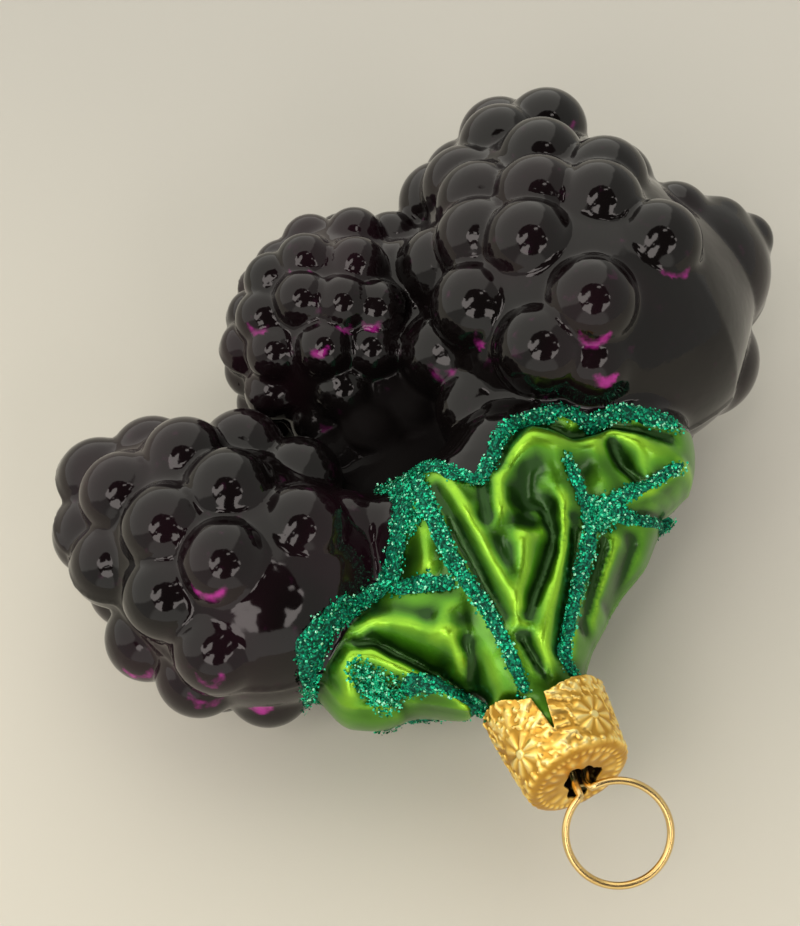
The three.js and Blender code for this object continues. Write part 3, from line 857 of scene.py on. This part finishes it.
@dataclass(frozen=True)
class LeafLacquer(Finish):
    """Candy green lacquer over silvered glass, with a painted highlight, yellow-green, on the ridges and
    painted shade, dark, in the folds.
    """

    # shadow is painted shade for the folds, bright a painted highlight for the ridges
    shadow: Point = (0.012, 0.055, 0.003)
    green: Point = (0.09, 0.29, 0.012)
    bright: Point = (0.31, 0.64, 0.03)

    def inputs(self, tree: Tree) -> dict[str, Any]:
        """The colour follows the folds, broken by noise."""
        relief = tree.attribute("relief") + (tree.noise(160.0, 3.0) - 0.5) * 0.25
        # painted shade in the folds and painted highlight on the ridges, from the relief
        colour = relief.ramp((0.27, self.shadow), (0.50, self.green), (0.84, self.bright))
        return {
            "Base Color": colour,
            "Metallic": 0.85,
            "Roughness": 0.30 + tree.noise(500.0, 2.0) * 0.1,
            "Coat Weight": 0.3,
            "Coat Roughness": 0.15,
            "Normal": tree.bump(tree.noise(700.0, 2.0), 0.00005, 0.5),
        }


@dataclass(frozen=True)
class GoldSheet(Finish):
    """Thin stamped sheet with a warm gold lacquer, with painted shade darker in the stamping and nearly
    black inside, and a painted highlight on the raised work.
    """

    # painted shade low in the stamping, the sheet's own gold, a painted highlight on the raised work, and
    # painted shade inside
    hollow_shade: Point = (0.58, 0.31, 0.045)
    sheet: Point = (1.0, 0.67, 0.16)
    raised_highlight: Point = (1.0, 0.86, 0.38)
    inside: Point = (0.04, 0.02, 0.005)

    def inputs(self, tree: Tree) -> dict[str, Any]:
        """Painted highlight on the raised work, painted shade browner low in the stamping."""
        relief = tree.attribute("relief") + (tree.noise(900.0, 2.0) - 0.5) * 0.3
        colour = relief.ramp((0.0, self.hollow_shade), (0.5, self.sheet), (1.0, self.raised_highlight))
        # painted shade: the inside faces are near black
        inner = tree.attribute("inner")
        return {
            "Base Color": tree.mix(inner, colour, self.inside),
            "Metallic": 1.0,
            "Roughness": 0.28 + tree.noise(1500.0, 2.0) * 0.12 + inner * 0.3,
            "Normal": tree.bump(tree.noise(2500.0, 2.0), 0.00003, 0.5),
        }


@dataclass(frozen=True)
class GoldWire(Finish):
    """Bright drawn wire with fine marks on it."""

    bright: Point = (0.86, 0.64, 0.28)
    dull: Point = (0.66, 0.44, 0.16)

    def inputs(self, tree: Tree) -> dict[str, Any]:
        """Slightly duller in places where fingers have been."""
        dull = tree.noise(400.0, 2.0)
        colour = tree.mix(dull, self.bright, self.dull)
        return {
            "Base Color": colour,
            "Metallic": 1.0,
            "Roughness": 0.16 + dull * 0.14,
            "Normal": tree.bump(tree.noise(5000.0, 1.0), 0.00001, 0.4),
        }


@dataclass(frozen=True)
class GlitterFlakes(Finish):
    """Teal foil flakes, each of its own shade at random, the brightest a painted glint."""

    # the last shade, near-white green, is a painted glint on a random few flakes
    shades: tuple[Point, ...] = ((0.0, 0.08, 0.04), (0.01, 0.34, 0.165), (0.02, 0.72, 0.38),
                                 (0.45, 1.0, 0.70))
    places: tuple[float, ...] = (0.0, 0.35, 0.75, 1.0)

    def inputs(self, tree: Tree) -> dict[str, Any]:
        """The shade is stored flake by flake."""
        shade = tree.attribute("shade")
        colour = shade.ramp(*zip(self.places, self.shades))
        return {"Base Color": colour, "Metallic": 0.9, "Roughness": 0.3 + shade * 0.1}


@dataclass(frozen=True)
class GlitterGlue(Finish):
    """The dried bead that holds the flakes, deep green between them."""

    glue: Point = (0.0, 0.045, 0.026)
    flecks: Point = (0.0, 0.25, 0.14)

    def inputs(self, tree: Tree) -> dict[str, Any]:
        """Fine flakes sunk in the bead mottle it."""
        fleck = tree.noise(3500.0, 2.0).step(0.45, 0.62)
        return {
            "Base Color": tree.mix(fleck, self.glue, self.flecks),
            "Roughness": 0.7 - fleck * 0.2,
            "Specular IOR Level": 0.2,
            "Normal": tree.bump(tree.noise(3500.0, 2.0), 0.0001, 0.8),
        }


@dataclass(frozen=True)
class FloorPaper(Finish):
    """The pale matt surface underneath."""

    near: Point = (0.71, 0.685, 0.595)
    far: Point = (0.54, 0.53, 0.48)

    def inputs(self, tree: Tree) -> dict[str, Any]:
        """A warm grey with painted shade: a little cooler and darker towards +X and +Y."""
        # painted shade: darker towards +X and +Y
        floor_shade = (tree.along(0) + tree.along(1)).step(-0.08, 0.10)
        return {
            "Base Color": tree.mix(floor_shade, self.near, self.far),
            "Roughness": 0.9,
        }


@dataclass(frozen=True)
class PaintedGlass(Finish):
    """The body's paint: berry lacquer, painted shade, dull black, where it is "deep", and green where it is
    "leaf".
    """

    berry: BerryLacquer = BerryLacquer("berry_lacquer")
    leaf: LeafLacquer = LeafLacquer("leaf_lacquer")

    def surface(self, tree: Tree) -> Socket:
        """Both lacquers with a brushed edge between them, and painted shade, dull black with no shine, deep
        between the berries.
        """
        plum = tree.node("ShaderNodeBsdfPrincipled", {}, self.berry.inputs(tree))
        green = tree.node("ShaderNodeBsdfPrincipled", {}, self.leaf.inputs(tree))
        # painted shade: a dull black shader for the valley between the berries and the inside of the bore
        shade = tree.node("ShaderNodeBsdfPrincipled", {}, {
            "Base Color": (*self.berry.dark, 1.0), "Roughness": 0.6, "Specular IOR Level": 0.05})
        deep = tree.attribute("deep")
        plum = tree.node("ShaderNodeMixShader", {}, {0: deep, 1: plum, 2: shade})
        edge = tree.attribute("leaf") + (tree.noise(600.0, 3.0) - 0.5) * 0.5
        return tree.node("ShaderNodeMixShader", {}, {0: edge.step(-0.12, 0.12), 1: plum, 2: green})


# ---- glass body ---------------------------------------------------------------------------------
@dataclass
class GlassBody:
    """The blown body: three berries and their calyx in one closed skin."""

    datum: Datum
    glass: Glass = field(default_factory=lambda: Glass(
        forms={**berries(), Region.JUNCTION: junction(), Region.CALYX: calyx()},
        bore=RoundCone((0, -38, AXIS_HEIGHT), 3.1, (0, -26, AXIS_HEIGHT), 3.1),
    ))
    low: Point = (-39, -35.5, -1.5)
    high: Point = (46, 40, 38.5)
    step: float = 0.42
    settle_reach: float = 0.15
    cavity_reach: float = 1.1
    cavity_gain: float = 1.2
    flat_relief: float = 0.38
    # the painted magenta reflection spots: their seed, sizes and strengths, and their aim, near the
    # camera's direction and then lower
    glint_seed: int = 4
    glint_sizes: tuple[float, float] = (0.03, 0.12)
    glint_strengths: tuple[float, ...] = (0, 0, 0.5, 0.6, 0.8)
    glint_aim: Point = (-0.2, -0.46, 0.87)
    glint_low: Point = (-0.34, -0.8, -0.5)
    # where the painted shade between the berries starts and is full, and how far below the seam it reaches
    valley_from: float = 3.0
    valley_to: float = 0.8
    valley_depth: float = 4.0

    def build(self) -> bpy.types.Object:
        """Meshes the body and stores at each vertex what its paint follows."""
        points, quads = skin(self.glass.distance, np.array(self.low), np.array(self.high), self.step)
        points = settle(self.glass.distance, points, self.settle_reach)
        piece = make_object("glass", self.datum.place(points), quads)
        parts = self.glass.parts(points)
        order = list(self.glass.forms)
        others = np.delete(parts, order.index(Region.CALYX), axis=0).min(axis=0)
        leaf = others - parts[order.index(Region.CALYX)]
        in_bore = smoothstep(0.6, 0.2, self.glass.bore.distance(points))
        leaf = np.minimum(leaf, self.inside_edge(points))
        add_attribute(piece, "leaf", np.where(in_bore > 0, -in_bore, leaf))
        # painted shade: dull black in the valley between the berries and inside the bore
        add_attribute(piece, "deep", np.maximum(self.deep(points, parts), in_bore))
        # relief sets where the leaf's painted shade and painted highlight go
        add_attribute(piece, "relief", self.relief(points))
        # painted reflection spots for the berry lacquer's magenta
        add_attribute(piece, "painted_glint", self.painted_glint(points))
        piece.data.materials.append(PaintedGlass("painted_glass").material())
        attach(piece, BODY)
        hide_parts("glass_body")
        return piece

    def inside_edge(self, points: Array) -> Array:
        """How far points lie on the neck's side of the edge trails, which bound the green."""
        upper, left = TRAILS[0], TRAILS[1]
        edge = np.array(left.points[::-1] + upper.points)
        below = (points[:, 2] < SEAM_HEIGHT) & (points[:, 0] > upper.points[0][0])
        return np.interp(points[:, 0], edge[:, 0], edge[:, 1]) - points[:, 1] - upper.neckwards * below

    def deep(self, points: Array, parts: Array) -> Array:
        """How deep points lie in the valley between the berries, above the seam: where shade is painted."""
        away = parts[list(self.glass.forms).index(Region.JUNCTION)]
        above = smoothstep(SEAM_HEIGHT - self.valley_depth, SEAM_HEIGHT, points[:, 2])
        return smoothstep(self.valley_from, self.valley_to, away) * above

    def painted_glint(self, points: Array) -> Array:
        """Painted reflection: a magenta crescent low on the camera-facing side of some drupelets, standing
        for light off the silvering where the lacquer is thin.
        """
        rng = np.random.default_rng(self.glint_seed)
        near, low = unit(np.array(self.glint_aim)), unit(np.array(self.glint_low))
        thin = np.zeros(len(points))
        for form in self.glass.forms.values():
            for ball in form.balls if isinstance(form, Berry) else ():
                aim = unit(near + low * rng.uniform(0.1, 1.1) + rng.normal(size=3) * 0.22)
                size, strength = rng.uniform(*self.glint_sizes), rng.choice(self.glint_strengths)
                local = points - ball
                away = np.linalg.norm(local, axis=1)
                inner = unit(aim - low * 0.3)
                spot = smoothstep(1 - size, 1 - size * 0.5, local @ aim / np.maximum(away, 1e-6))
                spot *= smoothstep(1 - size * 0.6, 1 - size, local @ inner / np.maximum(away, 1e-6))
                thin = np.maximum(thin, strength * spot * (away < form.drupelet + 0.5))
        return thin

    def relief(self, points: Array) -> Array:
        """How ridged the surface is, from 0 in a fold to 1 on a ridge."""
        outward = slope(self.glass.distance, points, self.settle_reach)
        across = unit(np.cross(outward, [0.3, 0.1, 0.9]))
        along = np.cross(outward, across)
        reach = self.cavity_reach
        rise = sum(self.glass.distance(points + side * reach)
                   for side in (across, -across, along, -along)) / 4
        return np.clip(self.flat_relief + self.cavity_gain * rise / reach, 0, 1)


# ---- glitter ------------------------------------------------------------------------------------
@dataclass
class GlitterTrail:
    """Glue with flakes in it, laid over the glass along a trail."""

    trail: Trail
    side: Side
    glass: Glass
    datum: Datum
    finishes: tuple[bpy.types.Material, bpy.types.Material]
    bead: float = 0.34
    flake: float = 0.15
    foil: float = 0.035
    per_mm2: float = 38.0
    stray_share: float = 0.07
    patch_stray_share: float = 0.4
    row_step: float = 0.3
    columns: int = 9
    root: float = 0.25
    seed: int = 1

    def build(self) -> bpy.types.Object:
        """Makes the bead and its flakes as one piece."""
        glue, glue_faces = self.glue()
        flakes, flake_faces, shade = self.flakes()
        suffix = "" if self.side is Side.TOP else "_back"
        node = f"glitter_{self.trail.name}{suffix}"
        vertices = np.vstack([glue, flakes])
        tris = np.vstack([glue_faces[:, [0, 1, 2]], glue_faces[:, [0, 2, 3]], flake_faces + len(glue)])
        piece = make_object(f"glitter_flakes_{self.trail.name}{suffix}", self.datum.place(vertices),
                            tris, smooth=False)
        add_attribute(piece, "shade", np.concatenate([np.zeros(len(glue)), shade]))
        for finish in self.finishes:
            piece.data.materials.append(finish)
        index = np.repeat([0, 1], [2 * len(glue_faces), len(flake_faces)]).astype(np.int32)
        piece.data.polygons.foreach_set("material_index", index)
        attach(piece, BODY)
        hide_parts(node)
        return piece

    def line(self, samples: int) -> tuple[Array, Array]:
        """The trail's middle line seen from above, and its half width along it."""
        curve = spline(self.trail.points, samples)
        curve[:, 1] -= self.trail.neckwards if self.side is Side.UNDER else 0.0
        return curve[:, :2], curve[:, 2] / 2

    def lay(self, flat: Array, lift: Array | float) -> tuple[Array, Array]:
        """Points laid on the glass from above or below, lifted off it, with the way out there."""
        points = self.glass.drop(flat, self.side is Side.TOP)
        outward = slope(self.glass.distance, points, 0.3)
        return points + outward * np.reshape(lift, (-1, 1)), outward

    def glue(self) -> tuple[Array, Array]:
        """The bead: a low closed band with an uneven top and wandering edges."""
        length = np.linalg.norm(np.diff(np.array(self.trail.points)[:, :2], axis=0), axis=1).sum()
        samples, across = max(int(length / self.row_step), 8), self.columns
        middle, half = self.line(samples)
        heading = unit(np.gradient(middle, axis=0))
        left = np.column_stack([-heading[:, 1], heading[:, 0]])
        wander = smooth_noise(middle, 1.6, 5)
        taper = np.sqrt(np.clip(np.minimum(np.arange(samples), np.arange(samples)[::-1]) / 3.0, 0.08, 1))
        share = np.linspace(-1, 1, across)
        reach = (half * (0.85 + 0.2 * wander) * taper)[:, None] * share
        flat = middle[:, None, :] + left[:, None, :] * reach[..., None]
        dome = np.sqrt(np.clip(1 - share**2, 0, 1))[None, :] * self.bead * taper[:, None]
        flat = flat.reshape(-1, 2)
        bumps = 1 + 0.35 * smooth_noise(flat, 0.9, 8).reshape(samples, across)
        top, outward = self.lay(flat, (dome * bumps - 0.02).ravel())
        base = top - outward * (dome * bumps + self.root).reshape(-1, 1)
        faces = []
        offset = samples * across
        for i in range(samples - 1):
            for j in range(across - 1):
                a, b = i * across + j, (i + 1) * across + j
                faces.append((a, b, b + 1, a + 1))
                faces.append((offset + a, offset + a + 1, offset + b + 1, offset + b))
            for j, turn in ((0, 1), (across - 1, -1)):
                a, b = i * across + j, (i + 1) * across + j
                faces.append((a, offset + a, offset + b, b)[::turn])
        for i, turn in ((0, -1), (samples - 1, 1)):
            for j in range(across - 1):
                a = i * across + j
                faces.append((a, offset + a, offset + a + 1, a + 1)[::turn])
        faces = np.array(faces)
        return np.vstack([top, base]), faces if self.side is Side.UNDER else faces[:, ::-1]

    def flakes(self) -> tuple[Array, Array, Array]:
        """The flakes: thin square bits of foil at many angles, thick on the bead and few beside it."""
        rng = np.random.default_rng(self.seed)
        middle, half = self.line(200)
        step = np.linalg.norm(np.diff(middle, axis=0), axis=1).mean()
        weight = half * 2 * step
        count = int(weight.sum() * self.per_mm2)
        index = rng.choice(len(middle), count, p=weight / weight.sum())
        angle = rng.uniform(0, TURN, count)
        stray = rng.random(count) < self.stray_share
        radius = half[index] * np.where(stray, rng.uniform(0.9, 1.35, count), np.sqrt(rng.random(count)))
        flat = middle[index] + np.stack([np.cos(angle), np.sin(angle)], 1) * radius[:, None]
        for x, y, size in self.trail.patches:
            number = int(math.pi * size**2 * self.per_mm2)
            turn, reach = rng.uniform(0, TURN, number), size * rng.beta(1.6, 1.6, number)
            flat = np.vstack([flat, np.column_stack([x + reach * np.cos(turn), y + reach * np.sin(turn)])])
            stray = np.concatenate([stray, rng.random(number) < self.patch_stray_share])
        count = len(flat)
        lift = np.where(stray, 0.05, rng.uniform(0.08, self.bead * 1.15, count))
        points, outward = self.lay(flat, lift)
        lean = np.where(stray, 0.25, 0.75)[:, None]
        facing = unit(outward + lean * rng.normal(size=(count, 3)) * 0.6)
        across = unit(np.cross(facing, rng.normal(size=(count, 3))))
        along = np.cross(facing, across)
        size = (self.flake * rng.uniform(0.65, 1.2, count))[:, None]
        corners = [points + across * size, points + along * size, points - across * size,
                   points - along * size, points + facing * self.foil, points - facing * self.foil]
        vertices = np.stack(corners, axis=1).reshape(-1, 3)
        cap = [(0, 1, 4), (1, 2, 4), (2, 3, 4), (3, 0, 4), (1, 0, 5), (2, 1, 5), (3, 2, 5), (0, 3, 5)]
        faces = (np.arange(count)[:, None, None] * 6 + np.array(cap)).reshape(-1, 3)
        return vertices, faces, np.repeat(rng.random(count), 6)


# ---- cap ----------------------------------------------------------------------------------------
@dataclass
class Cap:
    """The stamped cap: thin sheet with a worked side, four V notches and a torn hole in its end."""

    datum: Datum
    end_y: float = CAP_END_Y
    crown_y: float = -27.1
    end_radius: float = 4.8
    crown_radius: float = 5.7
    sheet: float = 0.34
    shoulder: float = 0.55
    slant: float = 0.23
    pivot_rise: float = 0.8
    crown_wave: float = 0.25
    crown_trim: float = 0.1
    hole_half_width: float = 1.7
    hole_half_height: float = 2.45
    hole_shift: float = 0.2
    hole_rise: float = -0.7
    notch_turn: float = -14.0
    notch_depth: float = 5.0
    notch_width: float = 1.35
    left_notch_width: float = 2.8
    tab_lift: float = 1.1
    tab_lift_from: float = 1.5
    tab_lift_to: float = 5.0
    tabs: int = 4
    work: float = 0.2
    work_radius: float = 5.5
    flower_share: float = 0.42
    flower_radius: float = 2.5
    step: float = 0.095

    def build(self) -> bpy.types.Object:
        """Meshes the sheet and stores at each vertex how raised its work is and how far inside it is."""
        reach = self.crown_radius + 0.7
        low = np.array([-reach, self.end_y - 0.5, AXIS_HEIGHT - reach])
        high = np.array([reach, self.crown_y + 0.5 + self.tab_lift, AXIS_HEIGHT + reach])
        points, quads = skin(self.distance, low, high, self.step)
        piece = make_object("cap_sheet", self.datum.place(points), quads)
        squared = self.squared(points)
        add_attribute(piece, "relief", np.clip(self.relief(squared) / self.work, 0, 1))
        # inner: the sheet's inside faces, where the finish paints near-black shade
        inner = smoothstep(self.sheet * 0.3, self.sheet * 0.7, self.depth(squared))
        add_attribute(piece, "inner", inner)
        piece.data.materials.append(GoldSheet("gold_sheet").material())
        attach(piece, BODY)
        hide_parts("cap")
        return piece

    def squared(self, points: Array) -> Array:
        """Points as they lie before the closed end is leant in towards its top."""
        pivot = AXIS_HEIGHT - self.end_radius + self.pivot_rise
        length = self.crown_y - self.end_y
        lean = self.slant * (points[:, 2] - pivot)
        share = np.clip((self.crown_y - points[:, 1]) / (length - lean), 0.0, 1.2)
        return points - np.outer(lean * share, [0.0, 1.0, 0.0])

    def around(self, points: Array) -> tuple[Array, Array, Array]:
        """Radius, turn from the first notch in tabs, and share of the way from end to crown."""
        x, z = points[:, 0], points[:, 2] - AXIS_HEIGHT
        turn = (np.degrees(np.arctan2(x, z)) - self.notch_turn) / (360 / self.tabs)
        share = (points[:, 1] - self.end_y) / (self.crown_y - self.end_y)
        return np.hypot(x, z), turn, share

    def relief(self, points: Array) -> Array:
        """Height of the stamped work: a star flower in rays and pebbles on each tab, studs and beads."""
        radius, turn, share = self.around(points)
        within_tab = turn * TURN
        tab = (turn % 1.0 - 0.5) * TURN * self.work_radius / self.tabs
        high = (share - self.flower_share) * (self.crown_y - self.end_y)
        away, angle = np.hypot(tab, high), np.arctan2(high, tab)
        petals = wave(8 * angle) * smoothstep(self.flower_radius, self.flower_radius - 0.6, away)
        petals *= smoothstep(0.35, 0.75, away)
        eye = smoothstep(0.62, 0.35, away)
        rays = wave(14 * angle) ** 2 * smoothstep(self.flower_radius + 0.1, self.flower_radius + 0.4, away)
        rays *= 0.55 + 0.45 * smooth_noise(points, 1.3, 3)
        pebbles = smoothstep(0.1, 0.7, smooth_noise(points, 0.62, 21))
        pebbles *= smoothstep(self.flower_radius - 0.6, self.flower_radius - 0.1, away)
        crown_beads = wave(11 * within_tab) * bell(share - 0.93, 0.035)
        end_beads = wave(8 * within_tab) * bell(share - 0.06, 0.05)
        side = np.maximum.reduce([0.8 * petals, eye, rays, crown_beads, end_beads, 0.75 * pebbles])
        rim = bell(radius - self.end_radius + 0.9, 0.25)
        rim *= wave(9 * within_tab + 2 * smooth_noise(points, 3.0, 33))
        studs = wave(4 * within_tab) * bell(radius - 3.0, 0.5)
        studs *= 0.6 + 0.4 * smooth_noise(points, 1.5, 7)
        end = np.maximum(0.8 * rim, studs)
        on_side = smoothstep(0.0, 0.06, share)
        dents = 0.18 * smooth_noise(points, 2.4, 11)
        return self.work * (side * on_side + end * (1 - on_side) + dents)

    def depth(self, points: Array) -> Array:
        """How far points lie under the plain outer face, sides and end run together."""
        slant = (self.crown_radius - self.end_radius) / (self.crown_y - self.end_y)
        lift = points[:, 1] - self.end_y
        wall = (self.around(points)[0] - self.end_radius - slant * lift) / math.hypot(1, slant)
        return soft_min(np.array([-wall, lift]), self.shoulder * 0.45)

    def distance(self, points: Array) -> Array:
        """Distance to the sheet's metal, negative inside."""
        points = self.squared(points)
        radius, turn, share = self.around(points)
        lift = points[:, 1] - self.end_y
        outer = -self.depth(points) - self.relief(points)
        crown = points[:, 1] - self.crown_y + self.crown_wave * np.cos(turn * TURN) + self.crown_trim
        crown -= self.tab_lift * smoothstep(self.tab_lift_from, self.tab_lift_to, -points[:, 0])
        metal = np.maximum(np.maximum(outer, -(outer + self.sheet)), crown)
        tab = np.abs((turn + 0.5) % 1.0 - 0.5) * TURN * radius / self.tabs
        depth = self.crown_y - points[:, 1]
        on_left = np.round(turn) % self.tabs == self.tabs - 1
        width = np.where(on_left, self.left_notch_width, self.notch_width)
        gap = width / 2 * (1 - depth / self.notch_depth) - tab
        notch = gap * math.cos(math.atan2(self.notch_width / 2, self.notch_depth))
        across = (points[:, 0] - self.hole_shift) / self.hole_half_width
        upward = (points[:, 2] - AXIS_HEIGHT - self.hole_rise) / self.hole_half_height
        angle = np.arctan2(upward, across)
        torn = 1 + 0.12 * np.sin(3 * angle + 1) + 0.09 * np.sin(7 * angle)
        near_end = lift < 2.0
        hole = np.where(near_end, (torn - np.hypot(across, upward)) * self.hole_half_width, -1.0)
        return np.maximum.reduce([metal, notch, hole])


# ---- wire ring ----------------------------------------------------------------------------------
@dataclass
class Hanger:
    """One wire: a sprung leg in the neck, out through the cap's hole, round the ring and back."""

    datum: Datum
    wire: float = 0.34
    ring: float = 4.6
    drop: Point = (0.289, -0.869, -0.395)
    facing: Point = (-0.198, -0.459, 0.866)
    stand_off: float = 0.6
    rise: float = 1.1
    shift: float = -0.3
    hole_shift: float = 0.2
    mouth: float = 8.0

    def build(self) -> bpy.types.Object:
        """Sweeps the wire along its way."""
        vertices, quads = tube(self.path(), self.wire, 24)
        piece = make_object("hanger", self.datum.place(vertices), quads)
        piece.data.materials.append(GoldWire("gold_wire").material())
        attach(piece, BODY)
        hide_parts("hanger_wire")
        return piece

    def path(self) -> Array:
        """The wire's middle line."""
        out = AXIS_HEIGHT + self.rise
        down = unit(np.array(self.drop))
        across = unit(np.cross(unit(np.array(self.facing)), down))
        centre = np.array([self.shift, CAP_END_Y - self.stand_off, out]) + self.ring * down
        angle = np.radians(np.linspace(self.mouth, 360 - self.mouth, 73))[:, None]
        loop = centre - self.ring * np.cos(angle) * down + self.ring * np.sin(angle) * across
        legs = [[(side * 2.3, CAP_END_Y + 12, AXIS_HEIGHT), (side * 1.7, CAP_END_Y + 8, AXIS_HEIGHT),
                 (self.hole_shift + side * 0.7, CAP_END_Y + 2.2, AXIS_HEIGHT + 0.2),
                 (self.shift + side * 0.5, CAP_END_Y + 0.3, out - 0.4)] for side in (1, -1)]
        start = spline([*legs[0], tuple(loop[0])], 24)
        end = spline([tuple(loop[-1]), *legs[1][::-1]], 24)
        return np.vstack([start[:-1], loop, end[1:]])


# ---- stage --------------------------------------------------------------------------------------
@dataclass
class Studio:
    """A pale floor, the even light of a pale room, and the camera.

    The azimuth and elevation, in degrees, are where the camera stands, and the window has its own.
    """

    datum: Datum
    target: Point = (-2.6, 0.0, 19.3)
    azimuth: float = -23.3
    elevation: float = 60.0
    distance: float = 145.0
    lens: float = 58.3
    floor_size: float = 3.0
    window: tuple[float, float] = (203.0, 35.0)
    walls: Point = (0.62, 0.61, 0.56)
    window_light: Point = (1.42, 1.38, 1.26)
    front_light: Point = (1.25, 1.22, 1.12)
    dark: Point = (0.03, 0.03, 0.03)
    glimmer: Point = (4.6, 4.2, 4.0)

    def build(self) -> None:
        """Sets floor, light and camera."""
        self.floor()
        self.room()
        self.camera()

    def floor(self) -> None:
        """A wide flat floor under the ornament."""
        half = self.floor_size / 2
        corners = [(-half, -half, 0), (half, -half, 0), (half, half, 0), (-half, half, 0)]
        floor = make_object("floor", np.array(corners), [(0, 1, 2, 3)], smooth=False)
        floor.data.materials.append(FloorPaper("floor_paper").material())

    def room(self) -> None:
        """The pale room: a bright window side, a bright front, and the dark shape of an onlooker."""
        world = bpy.data.worlds.new("room")
        world.use_nodes = True
        bpy.context.scene.world = world
        tree = Tree(world.node_tree)
        direction = tree.node("ShaderNodeTexCoord", output="Generated")

        def toward(azimuth: float, elevation: float) -> Socket:
            """How nearly a direction points at an azimuth and elevation."""
            a, e = math.radians(azimuth), math.radians(elevation)
            aim = (math.sin(a) * math.cos(e), -math.cos(a) * math.cos(e), math.sin(e))
            settings = {"operation": "DOT_PRODUCT"}
            return tree.node("ShaderNodeVectorMath", settings, {0: direction, 1: aim}, "Value")

        window = toward(*self.window) + (tree.noise(1.6, 3.0, direction) - 0.5) * 0.25
        front = toward(self.azimuth, 4.0)
        onlooker = toward(self.azimuth + 4, self.elevation + 3)
        onlooker = onlooker + (tree.noise(3.2, 2.0, direction) - 0.5) * 0.12
        shade = onlooker.step(0.79, 0.81)
        patches = tree.noise(3.0, 1.5, direction).step(0.55, 0.575)
        glimmer = shade * (1 - onlooker.step(0.985, 0.99)) * patches
        colour = tree.mix(window.step(0.40, 0.47), self.walls, self.window_light)
        colour = tree.mix(front.step(0.78, 0.86), colour, self.front_light)
        colour = tree.mix(shade, colour, self.dark)
        colour = tree.mix(glimmer, colour, self.glimmer)
        back = tree.node("ShaderNodeBackground", {}, {"Color": colour, "Strength": 1.0})
        tree.node("ShaderNodeOutputWorld", {}, {"Surface": back})

    def camera(self) -> None:
        """The camera's place and lens."""
        a, e = math.radians(self.azimuth), math.radians(self.elevation)
        back = Vector((math.sin(a) * math.cos(e), -math.cos(a) * math.cos(e), math.sin(e)))
        data = bpy.data.cameras.new("camera")
        data.lens, data.sensor_width, data.sensor_fit = self.lens, 36.0, "AUTO"
        data.clip_start, data.clip_end = 0.01, 10.0
        camera = bpy.data.objects.new("camera", data)
        bpy.context.scene.collection.objects.link(camera)
        place = self.datum.place(np.array(self.target) + self.distance * np.array(back))
        facing = back.to_track_quat("Z", "Y").to_matrix().to_4x4()
        camera.matrix_world = Matrix.Translation(Vector(place)) @ facing
        bpy.context.scene.camera = camera


# ---- the whole ----------------------------------------------------------------------------------
def main() -> None:
    """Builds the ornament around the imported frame."""
    logging.basicConfig(level=logging.INFO, format="%(message)s")
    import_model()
    datum = Datum.from_cap()
    body = GlassBody(datum)
    pieces = [body.build(), Cap(datum).build(), Hanger(datum).build()]
    glitter = (GlitterGlue("glitter_glue").material(), GlitterFlakes("glitter_flakes").material())
    for number, trail in enumerate(TRAILS):
        for side in Side:
            seed = 10 * number + side.value + 2
            maker = GlitterTrail(trail, side, body.glass, datum, glitter, seed=seed)
            pieces.append(maker.build())
    for piece in pieces:
        LOG.info("%s: %d vertices", piece.name, len(piece.data.vertices))
    Studio(datum).build()
    bpy.context.scene.view_settings.view_transform = "Standard"


if __name__ == "__main__":
    main()
